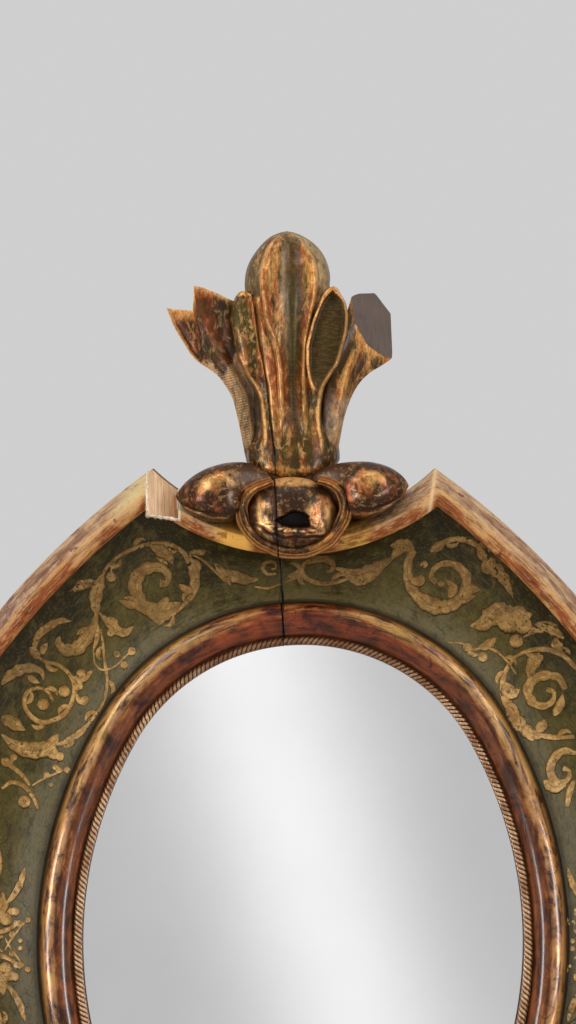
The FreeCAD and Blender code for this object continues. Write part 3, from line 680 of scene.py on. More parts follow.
def mitreHighlightNearness(x, height, side):
    # nearness to the mitre line from the ear to the corner of the rim, where a highlight is painted
    ear = np.array([side * frameShape["earReach"], frameShape["earHeight"]])
    lean, length, width = frameShape["mitre"]
    run = np.array([side * -lean, -1]) * length
    along = held(((x - ear[0]) * run[0] + (height - ear[1]) * run[1]) / (run @ run))
    return bump(np.hypot(x - ear[0] - run[0] * along, height - ear[1] - run[1] * along), 0, width)


def makeSkin(name, side, upper, materials):
    # one quarter's sheet, less a patch at the left ear that is bounded on the left, at its foot and
    # towards the crest; points near the patch move on to its edge
    s = earBreak
    x, height, depth, share = frontSheet(quarterLines(side, upper))
    rows, cols = x.shape
    along = runAlong(np.stack([x[:, 0], height[:, 0]], -1))
    flatX, flatH, flatD, flatShare = x.ravel(), height.ravel(), depth.ravel(), share.ravel()
    jag = ripple((flatH * 0.9, s["jag"]), (flatX * 0.7 + flatH * 0.3, s["jag"] * 0.6))
    foot = s["foot"] + s["footSlope"] * (s["inner"][0] - flatX)
    offLeft, offFoot, offCrest = s["left"] + jag - flatX, foot + jag - flatH, flatX - s["inner"][0]
    away = np.maximum(np.maximum(offLeft, offFoot), offCrest)
    onFront = flatShare < s["lastShare"]
    snap = (np.abs(away) < s["snap"]) & onFront
    flatX = (flatX + np.where(snap & (away == offLeft), offLeft, 0)
             - np.where(snap & (away == offCrest), offCrest, 0))
    flatH = flatH + np.where(snap & (away == offFoot), offFoot, 0)
    gone = (away < 0) & ~snap & onFront
    quads = gridQuads(rows, cols)
    quads = quads[~gone[quads].any(1)]
    used = np.unique(quads)
    number = np.zeros(rows * cols, int)
    number[used] = np.arange(len(used))
    quads = number[quads]
    points = toScene(flatX, flatH, flatD)[used]
    fromMiddle = np.abs(flatX - 1)
    marks = {
        "share": flatShare, "along": np.repeat(along, cols),
        "nearBreak": ease(s["paleEdge"], s["snap"], away) * (flatShare < 2.1),
        # painted highlight: a pale line down the mitre below each ear
        "mitre": np.maximum(mitreHighlightNearness(flatX, flatH, -1), mitreHighlightNearness(flatX, flatH, 1)),
        "notchGold": band(fromMiddle, 34, 44, 58, 74) * (flatH > 330),
    }
    marks = {key: value[used] for key, value in marks.items()}
    normal = np.cross(points[quads[:, 1]] - points[quads[:, 0]], points[quads[:, 3]] - points[quads[:, 0]])
    onRim = marks["share"][quads].mean(1) > 1.01
    if normal[:, 1].sum() > 0:
        quads = quads[:, ::-1]
    piece = makePiece(name, (points, quads, noTriangles, marks), materials, closed=False, sharp=38,
                      materialOf=onRim)
    wall = piece.modifiers.new("gesso", "SOLIDIFY")
    wall.thickness = frameShape["skinThickness"] / 1000
    wall.offset = -1
    cove = share < 1.001
    return x[cove], height[cove], depth[cove], (flatX, flatH, flatD)


greenPaint = {"brushScale": 22, **paints(
    dark=(40, 32, 8), mid=(76, 65, 26), light=(94, 84, 56), line=(30, 22, 12), moss=(102, 86, 42),
    paleDab=(112, 100, 60), darkDab=(38, 34, 16), joint=(12, 9, 6), torn=(222, 198, 166))}


def makeGreenPaint():
    # brushed along the cove with moss and small dabs; painted light by the moulding, painted shade by the rim
    s = greenPaint
    material, where, shader = newMaterial("green paint")
    share, along = mark(where, "share"), mark(where, "along")
    lane = flatPlace(along * 0.0025, share * 0.9)
    brush = noise(lane, s["brushScale"], 6, 0.66, 0.5)
    cloud = noise(where, 16, 5, 0.6, 0.6)
    # painted shade: the tone falls towards the rim
    tone = brush * 0.55 + cloud * 0.45 - ramp(share, 0.3, 1, -0.06, 0.16)
    # painted light: paler by the moulding
    pale = ramp(share, 0.42, 0.06) * ramp(tone + ramp(share, 0.3, 0, 0, 0.1), 0.46, 0.64)
    moss = noise(stretched(where, (1, 1, 0.6)), 90, 7, 0.72, 0.4)
    dabs = noise(stretched(lane, (2.2, 1.3, 1)), 60, 7, 0.76, 0.6)
    lines = placeGroup(crackle, "lines", where, scale=130, width=0.035)
    joint = placeGroup(jointLine, "line", where, spot=(seamPlace - 1) / 1000, height=ovalHeight + 0.32,
                       lean=-0.06, width=0.0017)
    colour = layered(
        mixed(ramp(tone, 0.33, 0.56), s["dark"], s["mid"]),
        (pale, s["light"]),
        (ramp(moss, 0.5, 0.66) * 0.55, s["moss"]),
        (ramp(moss, 0.5, 0.34) * 0.7, s["dark"]),
        (ramp(dabs, 0.52, 0.64) * 0.42, s["paleDab"]),
        (ramp(dabs, 0.48, 0.36) * 0.6, s["darkDab"]),
        (ramp(share + brush * 0.04, 0.02, 0.1, 1, 0) * 0.8, s["line"]),  # shadow by the moulding
        (lines * 0.5, s["line"]),
        (joint, s["joint"]),
        (ramp(mark(where, "nearBreak"), 0.4, 0.7), s["torn"]),
    )
    height = brush * 0.8 + noise(where, 420, 3) * 0.2 - lines
    setShader(shader, height, 0.35, 0.0006, colour=colour, roughness=0.3 + cloud * 0.28, coat=0.02,
              coatRoughness=0.35, specular=0.1)
    return material


rimGilt = {"scale": 34, **paints(
    violet=(118, 76, 56), beige=(202, 164, 122), gold=(206, 154, 92), red=(144, 74, 34), dark=(66, 44, 26),
    purple=(124, 94, 86), bole=(122, 70, 44), cream=(214, 190, 136), paleFleck=(226, 204, 172),
    redFleck=(118, 70, 46), arris=(206, 164, 108), notch=(246, 182, 86), notchShade=(136, 94, 44),
    mitre=(226, 188, 138), chip=(92, 44, 22), torn=(230, 208, 178))}


def makeRimGilt():
    # gold and red on the slope towards the cove, rubbed violet and beige on the outer slope,
    # bright gold in the notch and along the crown
    s = rimGilt
    material, where, shader = newMaterial("rubbed rim gilding")
    share, along = mark(where, "share"), mark(where, "along")
    x = axes(where)[0]
    lane = flatPlace(along * 0.0009, share * 0.11)
    streak = noise(lane, 46, 7, 0.7, 0.3)
    cloud = noise(where, s["scale"], 6, 0.64, 0.8)
    fine = noise(where, 520, 4, 0.6)
    flecks = noise(stretched(lane, (2.2, 3.2, 1)), 60, 6, 0.74, 0.4)
    worn = ramp(x, -0.166, -0.138) * ramp(x, -0.09, -0.11) * ramp(cloud, 0.38, 0.56)
    top = layered(
        mixed(ramp(streak * 0.6 + cloud * 0.4, 0.4, 0.62), s["violet"], s["beige"]),
        (ramp(x, -0.225, -0.275) * 0.75, s["purple"]),
        (ramp(flecks, 0.55, 0.63) * 0.55, s["paleFleck"]),
        (ramp(flecks, 0.47, 0.38) * 0.7, s["redFleck"]),
        (ramp(share, 1.66, 1.94) * ramp(streak, 0.6, 0.44) * 0.75, s["bole"]),
        (worn * 0.8, s["cream"]),
    )
    low = layered(
        mixed(ramp(streak * 0.5 + cloud * 0.5, 0.48, 0.62), s["red"], s["gold"]),
        (ramp(streak, 0.46, 0.32) * 0.8, s["dark"]),
        (ramp(flecks, 0.53, 0.61) * 0.7, s["gold"]),
        (ramp(flecks, 0.43, 0.36) * 0.7, s["dark"]),
    )
    side = share + (cloud - 0.5) * 0.34
    crown = ramp(share, 1.42, 1.47) * ramp(share, 1.57, 1.51) * ramp(streak, 0.36, 0.5)
    arris = ramp(share, 1.9, 1.97) * ramp(share, 2.12, 2.05) * ramp(cloud, 0.4, 0.54)
    # the notch gold turns darker towards its right half: a painted shade
    notch = mixed(ramp(x, -0.02, 0.03) * ramp(streak, 0.34, 0.6), s["notch"], s["notchShade"])
    chips = ramp(noise(where, 95, 3, 0.5), 0.66, 0.69) * ramp(streak, 0.4, 0.55)
    colour = layered(
        mixed(ramp(side, 1.32, 1.56), low, top),
        (arris * 0.7, s["arris"]),
        (crown * ramp(flecks, 0.4, 0.56, 0.1, 0.8), s["gold"]),
        (mark(where, "notchGold") * ramp(cloud, 0.24, 0.42), notch),
        # painted highlight: pale gold along the mitre below each ear
        (mark(where, "mitre") * ramp(cloud, 0.36, 0.5), s["mitre"]),
        (ramp(side, 2, 2.16) * 0.85, s["dark"]),  # outer wall
        (chips * 0.8, s["chip"]),
        (ramp(fine, 0.62, 0.7) * 0.5, s["dark"]),
        (ramp(mark(where, "nearBreak"), 0.4, 0.7), s["torn"]),
    )
    setShader(shader, streak + fine * 0.35 - chips, 0.4, 0.0006, colour=colour, roughness=0.26 + cloud * 0.28,
              metallic=0.12, coat=0.06, coatRoughness=0.25, specular=0.12)
    return material


def makeEarBreak(material):
    # the broken wood at the left ear: a flat splintered face that leans towards the crest, backed by the frame
    s, f = earBreak, frameShape
    x = np.linspace(s["left"] + 0.2, s["inner"][0] - 0.3, 60)[None, :]
    cx, cz, radius = frameRuns[0, :3]
    shoulder = cz + np.sqrt(np.maximum(radius**2 - (-x - cx) ** 2, 0))
    notch = notchCentre - np.sqrt(f["notchRadius"] ** 2 - x**2)
    top = np.where(x < -f["earReach"], shoulder, notch) - 0.3
    foot = s["foot"] + s["footSlope"] * (s["inner"][0] - x) - 0.2
    height = foot + (top - foot) * np.linspace(0, 1, 48)[:, None]
    splinters = ripple((x * 5.3 + height * 0.11, 0.16), (x * 9.1 - height * 0.07, 0.10),
                       (x * 1.3 + height * 0.05, 0.2))
    front = breakDepth(x) + 0.5 + splinters
    back = np.minimum(f["rimArris"] - 2, front - 1)
    mesh = shellMesh(toScene(x, height, front), toScene(x, height, back), {})
    makePiece("ear_broken_wood", mesh, [material], sharp=40)


def makeGessoEdge(skin, material):
    # the torn edge of the gesso: a thin uneven ribbon down the left side of the break and along its foot
    s = earBreak
    corner = s["foot"] + s["footSlope"] * (s["inner"][0] - s["left"])
    line = np.concatenate([np.linspace((s["left"], 413), (s["left"], corner), 60),
                           np.linspace((s["left"], corner), (s["inner"][0], s["foot"]), 50)[1:]])

    def eased(values, reach):
        # the mean of each value and its neighbours on both sides
        return np.convolve(np.pad(values, reach, "edge"), np.ones(2 * reach + 1) / (2 * reach + 1), "valid")

    run = runAlong(line)
    near = np.hypot(line[:, :1] - skin[0], line[:, 1:] - skin[1]).argmin(1)
    depth = eased(np.maximum(skin[2][near], breakDepth(line[:, 0])), 3)[:, None] + 0.2
    way = headings(np.stack([eased(line[:, i], 2) for i in (0, 1)], -1))
    half = 0.9 + 0.6 * ease(30, 50, run) + ripple((run * 1.9, 0.16), (run * 0.7, 0.2), (run * 4.3, 0.1))
    across = half[:, None] * np.array([-1, -0.5, 0.2, 1, 0.5, -0.5])
    lift = np.array([0, 0.5, 0.6, 0, -0.8, -0.8])
    points = toScene(line[:, :1] - way[:, 1:] * across, line[:, 1:] + way[:, :1] * across, depth + lift)
    makePiece("ear_gesso_edge", tubeMesh(points, {}), [material])


gessoTones = paints(shade=(196, 168, 134), chalk=(246, 230, 206))
breakTones = paints(deep=(206, 156, 116), light=(250, 216, 176), broad=(226, 182, 142), dirt=(122, 76, 50))


def makeGesso():
    material, where, shader = newMaterial("torn gesso")
    cloud = noise(where, 300, 5, 0.65)
    colour = mixed(ramp(cloud, 0.34, 0.6), gessoTones["shade"], gessoTones["chalk"])
    setShader(shader, cloud, 0.4, 0.0005, colour=colour, roughness=0.7 + cloud * 0.2, specular=0.12)
    return material


def makeBrokenWood():
    material, where, shader = newMaterial("broken pale wood")
    fibre = noise(stretched(where, upright), 900, 5, 0.62, 0.3)
    broad = noise(stretched(where, (1, 1, 0.2)), 120, 4, 0.6)
    colour = layered(
        mixed(ramp(fibre, 0.34, 0.62), breakTones["deep"], breakTones["light"]),
        (ramp(broad, 0.5, 0.66) * 0.6, breakTones["broad"]),
        (ramp(fibre, 0.36, 0.28) * ramp(broad, 0.4, 0.6) * 0.7, breakTones["dirt"]),
    )
    setShader(shader, fibre, 0.4, 0.0005, colour=colour, roughness=0.62 + fibre * 0.2, specular=0.15)
    return material


hands = (("left", -1), ("right", 1))
frontMaterials = [makeGreenPaint(), makeRimGilt()]
makeEarBreak(makeBrokenWood())
coveSpots = [makeSkin(f"skin_{row}_{hand}", side, row == "upper", frontMaterials)
             for row in ("upper", "lower") for hand, side in hands]
makeGessoEdge(coveSpots[0][3], makeGesso())
print("painted front ready")


# Painted scrolls. Each stroke is a kind, its greatest width and the points of its middle line, as x,height.
scrollPaint = {"lift": 0.12, "stepLength": 0.9, "swell": 1.16, "lobes": 0.26, "lobePitch": 5.2,
               "leafletEvery": 26, "leafletLength": 11, "leafletWidth": 4.6}
scrollTones = paints(
    gold=(150, 108, 50), pale=(178, 138, 76), brown=(74, 48, 20), light=(196, 156, 92),
    darkMottle=(116, 74, 30), paleMottle=(208, 168, 104), outline=(62, 48, 18), rubbed=(70, 62, 30),
    dot=(66, 40, 16), faint=(98, 76, 34))
strokeTables = {
    "left": """
stem 4.1 -170,321 -163.5,332 -154,340.5 -141.5,347 -132,350.5 -120,352 -107,350.5 -96.5,343.5 -89.5,333
    -87,320 -88.5,310 -92.5,302.5 -100,295 -109,287.5 -117.5,282
leaf 8.6 -98,345 -90,333 -87,318.5 -90,306 -99.5,297
curl 11.7 -116,282 -124.5,290.5 -132,297 -137.5,306 -139.5,317 -134.5,326.5 -125,331 -116,330 -110.5,323.5
    -112.5,317 -118,317  leaf 14.1 -99.5,300 -116.5,291.5 -132,296.5 -148,298.5
leaf 9.4 -110.5,304.5 -118,295 -123,287.5 -120,282  leaf 6.6 -135.5,297 -145,298.5 -154,302
leaf 5.3 -137,300 -145,304 -149.5,304.5  leaf 7.2 -88.5,309.5 -95,311.5 -101,316.5
leaf 9.7 -126,350 -116.5,345 -109,339 -106.5,333  leaf 6.2 -121.5,343.5 -115,337.5 -111,333.5
leaf 4.7 -93,340.5 -87,344.5 -82,345  leaf 10.9 -167.5,325 -172,314 -174.5,301.5 -173,286
tail 11.7 -173,293.5 -176,279.5 -184,267 -193,259 -202.5,259.5 -207,266.5 -205.5,270.5
leaf 6.2 -179,276.5 -188.5,274 -191,272  tail 8.6 -172,292 -165,284.5 -159,278 -149.5,273.5 -141,279
drop 7 -161,273.5  leaf 5.6 -165,286 -157,283 -155,279  leaf 4.4 -172,281 -173,270 -177,256
leaf 7.2 -172,318.5 -180.5,317 -190,313 -197,309  leaf 4.7 -179,318.5 -187,318 -191.5,317
drop 9.1 -160.5,322.5  stem 1.9 -157,336 -160,330.5 -160.5,326.5
stem 3.1 -170,276.5 -168,264 -166,245 -164,229.5 -166.5,215.5 -174.5,201.5 -184,190.5 -195,183 -207,175.5
leaf 6.2 -179,195 -190,184.5 -204,176.5 -213.5,174
stem 2.2 -176,256 -175,247 -170,241.5 -162,242 -154,247 -147,254 -141.5,258  drop 7.5 -142.5,257.5
drop 6.2 -155.5,254.5  drop 7.2 -149,245.5
stem 4.4 -228.5,256 -219,248.5 -207,245 -198,237.5 -193,226.5 -195,214 -201,203 -212,196.5 -223,195 -232,201
    -237,211.5 -234,221.5 -224.5,225 -215.5,220.5 -212,213  drop 10.3 -220.5,210.5
leaf 9.4 -257,228 -246.5,238 -234,242.5 -222,239 -220,232  leaf 5.6 -234,236 -227.5,231 -223.5,229.5
tail 7.2 -226,251.5 -227.5,261 -223.5,272 -215,279 -205.5,284 -195.5,284
leaf 7.8 -223.5,251.5 -227.5,256 -231.5,261.5  leaf 6.2 -221.5,254.5 -219,261 -216.5,265  drop 10.3 -202,222
drop 9.7 -187,236.5  leaf 7.2 -193,233 -184,234.5 -177,240.5  drop 7.8 -189.5,226.5
leaf 5.3 -191.5,220 -188.5,214 -182,210  drop 7.8 -183.5,214.5  leaf 10.9 -257,200 -248,194.5 -236,187.5
tail 14.1 -257,184.5 -246.5,175 -230.5,170 -216.5,172.5 -207,184.5  leaf 9.4 -218,172 -210.5,167 -202.5,164
drop 7.8 -205.5,165  stem 4.4 -257,136.5 -248,142 -238.5,139 -230,130.5 -225,119
stem 4.1 -257,161 -248,155.5 -238.5,147.5 -232,139  leaf 7.8 -257,162.5 -252.5,159.5 -246.5,161
drop 6.2 -246.5,164  stem 2.2 -230.5,139 -221.5,144.5 -212,149 -202.5,153  drop 6.2 -217.5,148.5
drop 5.6 -209.5,155.5  drop 6.2 -206.5,153  drop 5.9 -199,153.5  drop 4.7 -213.5,140.5  drop 10.9 -237,125
""",
    "right": """
curl 10.2 105.5,348 100.5,335.5 101,320 107.5,307 119,298.5 131,295.5 142.5,300 150.5,311 151.5,322.5
    144.5,331.5 133,334.5 123.5,330 121,321.5 125.5,317.5  leaf 13.7 105.5,310 119,298.5 133,296.5 146.5,304
stem 5.1 120,345 131,353 144.5,356 159,351 170,339.5  leaf 10.9 160,347 172,333.5 183.5,321.5 192.5,304
leaf 7.8 170,339.5 168,329.5 174,325.5  leaf 9 121,345 126,349 133,353  leaf 10.2 105.5,347 95.5,351 84,350
leaf 7.8 103.5,347 94,347 84,336.5  leaf 9 102.5,320 110.5,319 113,325.5  drop 6.6 114.5,333.5
leaf 9.8 146.5,308 156.5,312 164,311  leaf 7.8 142.5,300 152.5,304 160,306
leaf 8.6 136.5,304 139.5,314 134,320  drop 5.9 129.5,316.5  drop 23.4 189.5,285.5
leaf 15.6 185.5,300 176,290.5 166,281.5 154.5,279.5  leaf 11.7 193.5,296.5 203,288.5 209,290.5
drop 15.6 201,280.5  tail 9.8 201,269 209,275 220.5,279 236.5,269  drop 11.7 195.5,266  drop 10.5 230.5,264
leaf 7.8 177.5,269 170,263 162,262
stem 2.5 135,265.5 148.5,264 156.5,259 168,261 177.5,257.5 187.5,248.5 195.5,237  drop 8.6 152.5,261
drop 9 166,252.5  leaf 5.9 164,259 170,262 176,269
stem 4.7 191.5,250.5 204,257 220.5,259 236.5,253.5 246.5,243.5 260,230
stem 5.9 193.5,251.5 185.5,238.5 183,224 187.5,208.5 197.5,195 211,185.5 228.5,181.5 246.5,182
leaf 11.7 185.5,218 195.5,196.5 211,184 224.5,183
curl 8.6 238.5,224 232.5,234 220.5,236 210,232 205.5,222 210,212.5 219.5,209 227.5,213.5 228.5,221 222.5,224
leaf 10.9 219,253.5 211,247.5 206,233  leaf 11.7 184.5,230 191.5,220 198.5,224
leaf 7.8 228.5,200.5 233.5,208.5 236.5,220  leaf 9.8 213,187 219,193 220.5,197.5
curl 7.8 248,167.5 236.5,169.5 227.5,161.5 225.5,150 232.5,142 240,144 242,152 236.5,154.5
leaf 9.8 219,144 228.5,138 240,140  stem 5.9 246.5,144 242,132.5 240,120.5
""",
    "top": """
stem 2.2 -89.5,342.5 -79,336.5 -70,328 -60.5,318.5  leaf 7 -69.1,334.3 -61.8,325.1 -55.3,314.5
leaf 10.4 -61.8,328.4 -48.9,321.8 -39.7,320 -30.9,320.5
stem 2.4 -34.2,314.1 -23.2,312.8 -14,315.6 -11.4,316.5
tail 4.4 -8.8,317.4 -4.4,319.3 2.2,323.3 5.3,329.2 1.6,333.6 -3.7,334.7
leaf 5 -5.7,323.3 -0.7,324.2 3.7,329.2
curl 3.6 -15.8,325.5 -23.2,325.1 -27.6,330.7 -23.5,335.8 -17.3,335.1 -15.8,330.7 -19.9,329.2
stem 4.6 17.3,338.4 10.3,335.3 7.2,328.8 9.9,322.4 19.1,317.8 33.8,317.4 48.5,321.5
curl 6.4 11.8,334.7 19.1,337.6 28.3,337.6 34.2,333.4 33.1,328.4 28.3,327
leaf 11.5 41.2,326.6 55.9,324.2 70.6,329.7 89.3,340.9  leaf 7 46.7,321.5 55.9,318.2 66.9,321.5 79,329.6
leaf 5.4 36,330.7 46.7,327.3 59.5,329.2  leaf 5.6 -87.5,345 -81.5,344 -77,346.5
""",
}


def readStrokes(table):
    # a word starts a stroke, a plain number is its width, and a pair is a point
    strokes = []
    for word in table.split():
        if word.isalpha():
            strokes.append((word, []))
        elif "," in word:
            strokes[-1][-1].append([float(part) for part in word.split(",")])
        else:
            strokes[-1] = (strokes[-1][0], float(word), [])
    return strokes


leftStrokes, rightStrokes, topStrokes = map(readStrokes, strokeTables.values())


def coveDepthMap(spots):
    # the cove's depth on an even grid of x and height: mean of the sheet's points in each cell, with
    # empty cells filled from their neighbours
    x, height, depth = (np.concatenate([spot[i] for spot in spots]) for i in range(3))
    low, cell, size = np.array([-400, -440]), 2, (401, 441)  # corner, width of a cell, count of cells
    i = np.rint((x - low[0]) / cell).astype(int)
    j = np.rint((height - low[1]) / cell).astype(int)
    index, cells = i * size[1] + j, size[0] * size[1]
    count = np.bincount(index, minlength=cells).reshape(size).astype(float)
    total = np.bincount(index, weights=depth, minlength=cells).reshape(size)
    neighbours = ((1, 0), (-1, 0), (0, 1), (0, -1))
    for _ in range(6):
        nearCount, nearTotal = (sum(np.roll(grid, step, (0, 1)) for step in neighbours)
                                for grid in (count, total))
        empty = (count == 0) & (nearCount > 0)
        count[empty], total[empty] = 1, nearTotal[empty] / nearCount[empty]
    return low, cell, total / np.maximum(count, 1e-9), count > 0


depthGrid = coveDepthMap(coveSpots)


def coveDepth(x, height):
    # the grid read between the four nearest cells, each weighed by its nearness
    low, cell, grid, inside = depthGrid
    u = np.clip((x - low[0]) / cell, 0, grid.shape[0] - 2)
    v = np.clip((height - low[1]) / cell, 0, grid.shape[1] - 2)
    i, j = u.astype(int), v.astype(int)
    fu, fv = u - i, v - j
    near = (grid[i, j] * (1 - fu) * (1 - fv) + grid[i + 1, j] * fu * (1 - fv)
            + grid[i, j + 1] * (1 - fu) * fv + grid[i + 1, j + 1] * fu * fv)
    return near, inside[i, j] & inside[i + 1, j + 1]


def strokeWidth(kind, share):
    # half-width along a stroke, as a share of the greatest
    if kind == "leaf":
        return np.sin(math.pi * share**0.8) ** 0.8
    if kind == "tail":
        return np.sin(math.pi * share**1.25) ** 0.75 * 0.92 + 0.08
    if kind == "curl":
        body = np.sin(math.pi * held(share * 0.9 + 0.12)) ** 0.9
        return 0.22 + 0.78 * body + 0.35 * bump(share, 1, 0.06)
    if kind == "drop":
        return np.sqrt(held(1 - (2 * share - 1) ** 2))
    return 0.55 + 0.45 * np.sin(math.pi * share)


def brushStroke(kind, width, points, order):
    # a flat ribbon along the stroke's middle line, laid on the cove; broad leaves have lobes along
    # their edges, like an acanthus leaf
    s = scrollPaint
    if kind == "drop":
        x, height = points[0]
        points = [(x - width / 2, height), (x, height), (x + width / 2, height)]
    points = np.asarray(points, float)
    length = stepsOf(points).sum()
    count = int(np.clip(length / s["stepLength"], 9, 120))
    line = curveThrough(points, count)
    share = np.linspace(0, 1, count)
    way = headings(line)
    unsteady = 1 + 0.06 * np.sin(share * 37 + order)
    half = np.maximum(width / 2 * s["swell"] * strokeWidth(kind, share) * unsteady, 0.12)[:, None]
    across = np.array([-1, -0.72, -0.3, 0.1, 0.45, 0.8, 1, 0.5, -0.5])
    under = np.array([0, 0, 0, 0, 0, 0, 0, 1, 1])
    cut = s["lobes"] * ease(4.5, 8, width) * (kind != "drop")
    wave = np.abs(np.sin(share * length / s["lobePitch"] * math.pi / 2 + order))[:, None] - 0.55
    lobe = 1 + cut * wave * ease(0.2, 1, np.abs(across))
    x = line[:, :1] - way[:, 1:] * half * across * lobe
    height = line[:, 1:] + way[:, :1] * half * across * lobe
    depth, inside = coveDepth(x, height)
    keep = inside.all(1)
    first, last = keep.argmax(), len(keep) - keep[::-1].argmax()
    if not keep.any() or last - first < 4:
        return None
    lift = s["lift"] * (1 - across**2) + 0.14 + 0.02 * (order % 9)
    depth = depth + np.where(under > 0, -0.3, lift)
    marks = {"across": across, "alongStroke": (share * length + order)[first:last, None],
             "strokeSize": width * (kind != "drop")}
    return tubeMesh(toScene(x, height, depth)[first:last], marks)


def moved(strokes, flipX=1, flipH=1, turn=0, centre=(0, 0), to=None):
    # copies of strokes, flipped, turned and set about another centre
    c, s = math.cos(turn), math.sin(turn)
    copies = []
    for kind, width, points in strokes:
        x, height = ((np.asarray(points, float) - centre) * [flipX, flipH]).T
        placed = np.stack([x * c - height * s, x * s + height * c], -1)
        copies.append((kind, width, placed + (centre if to is None else to)))
    return copies


def leafletsOn(strokes):
    # small leaves along the long stems: each leaves the stem at a slant and bends back towards it,
    # on the two sides in turn
    s, leaflets = scrollPaint, []
    bend = [(0, 0.1), (0.35, 0.42), (0.8, 0.5), (1.1, 0.3)]  # along the stem and away from it
    for kind, _, points in strokes:
        points = np.asarray(points, float)
        length = stepsOf(points).sum()
        if kind != "stem" or length < 2 * s["leafletEvery"]:
            continue
        count = int(length / s["leafletEvery"])
        line = curveThrough(points, 4 * count + 1)
        for number in range(count):
            foot = line[4 * number + 2]
            ahead = line[4 * number + 3] - foot
            ahead = ahead / np.linalg.norm(ahead)
            sideways = np.array([-ahead[1], ahead[0]]) * (1 if number % 2 else -1)
            leaf = [tuple(foot + s["leafletLength"] * (a * ahead + b * sideways)) for a, b in bend]
            leaflets.append(("leaf", s["leafletWidth"], leaf))
    return leaflets


def makeScrolls(name, strokes, material):
    strokes = list(strokes) + leafletsOn(strokes)
    parts = [brushStroke(*stroke, order) for order, stroke in enumerate(strokes)]
    makePiece(name, joinMeshes([part for part in parts if part]), [material])


def makeScrollPaint():
    # ochre with brown outlines, veins and hatching on the broad strokes, mottled and rubbed
    s = scrollTones
    material, where, shader = newMaterial("ochre scroll paint")
    across, alongStroke = mark(where, "across"), mark(where, "alongStroke")
    cloud = noise(where, 60, 6, 0.66, 0.6)
    fine = noise(where, 480, 4, 0.62)
    mottle = noise(where, 170, 6, 0.72, 0.4)
    wide = ramp(mark(where, "strokeSize"), 4.5, 8)
    vein = ramp(abs(across - (cloud * 0.8 - 0.45)), 0.16, 0.04)
    rib = ramp(abs(across + 0.62 - cloud * 0.5), 0.12, 0.03)
    hatch = ramp(calc("SINE", (alongStroke + abs(across) * -2.2) * 2.4), 0.35, 0.95)
    hatch = hatch * wide * ramp(noise(where, 220, 4), 0.4, 0.58)
    light = ramp(abs(across + 0.3), 0.42, 0)
    outline = calc("MAXIMUM", ramp(abs(across), 0.6, 0.98), ramp(across, 0.25, 1) * 0.6)
    rubbed = calc("MAXIMUM", ramp(fine, 0.6, 0.68), ramp(noise(where, 150, 6, 0.7), 0.54, 0.66))
    low = ramp(axes(where)[2], ovalHeight + 0.36, ovalHeight + 0.2)
    colour = layered(
        mixed(ramp(cloud, 0.36, 0.62), s["gold"], s["pale"]),
        (vein * wide * 0.55, s["brown"]),
        (rib * wide * 0.5, s["brown"]),
        (hatch * 0.26, s["brown"]),
        (light * ramp(cloud, 0.4, 0.56, 0.1, 0.5), s["light"]),
        (ramp(mottle, 0.52, 0.38) * 0.65, s["darkMottle"]),
        (ramp(mottle, 0.54, 0.66) * 0.5, s["paleMottle"]),
        (outline * 0.85, s["outline"]),
        (rubbed * 0.8, s["rubbed"]),
        (ramp(noise(where, 300, 2, 0.5), 0.63, 0.69) * 0.7, s["dot"]),
        (ramp(noise(where, 34, 4, 0.6, 0.5), 0.46, 0.66) * 0.6, s["faint"]),
        (0.4 - low * 0.4, s["brown"]),
    )
    setShader(shader, fine, 0.25, 0.0004, colour=colour, roughness=0.34 + fine * 0.2, metallic=0.1, coat=0.03,
              specular=0.15)
    return material


def middleOf(stroke):
    return np.mean(stroke[2], 0)


# the side scrolls are two copies of a part of the upper ones, and the foot is the top turned over
ochre = makeScrollPaint()
sideMotif = [stroke for stroke in leftStrokes if middleOf(stroke)[0] < -190 and middleOf(stroke)[1] < 262]
leftSide = (moved(sideMotif, centre=(-222, 212), to=(-282, 62), turn=0.5)
            + moved(sideMotif, flipH=-1, centre=(-222, 212), to=(-282, -62), turn=-0.5))
rightSide = moved(leftSide, flipX=-1, to=(2 * ovalPlace - 12, 0))
topLeft = [stroke for stroke in topStrokes if middleOf(stroke)[0] < seamPlace]
topRight = [stroke for stroke in topStrokes if middleOf(stroke)[0] >= seamPlace]
makeScrolls("scrolls_left", leftStrokes + topLeft + leftSide, ochre)
makeScrolls("scrolls_right", rightStrokes + topRight + rightSide, ochre)
makeScrolls("scrolls_foot_left", moved(leftStrokes + topLeft, flipH=-1), ochre)
makeScrolls("scrolls_foot_right", moved(rightStrokes + topRight, flipH=-1), ochre)
print("scrolls ready")


# Half-round moulding and rope at the opening
mouldingShape = {"ledge": 42, "seat": 36, "ropeWidth": 8, "beadWidth": 30.5, "crown": 57, "outer": 47,
                 "gap": 0.5, "step": 2.4, "wave": 0.25, "beadSteps": 34}
ropeShape = {"radius": 3.75, "centreDepth": 43.7, "centreOffset": 3.85, "lead": 13.2, "strands": 3,
             "groove": 0.24, "step": 0.62}


def ovalHalf(side, offset, step, gap):
    # even places along one half of the opening: the left half from the upper seam down, the right half
    # from the lower seam up
    turn = np.linspace(0, 2 * math.pi, 8001)
    x = ovalPoints(frameShape["sight"], turn, offset, ovalPlace)[:, 0]
    if side < 0:
        turn = np.unwrap(np.where(turn > 1.5 * math.pi, turn - 2 * math.pi, turn))[x < seamPlace - gap]
    else:
        turn = np.sort(np.where(turn > 1.25 * math.pi, turn - 2 * math.pi, turn)[x > seamPlace + gap])
    run = runAlong(ovalPoints(frameShape["sight"], turn, offset, ovalPlace))
    even = np.linspace(0, run[-1], int(run[-1] / step))
    return np.interp(even, run, turn), even


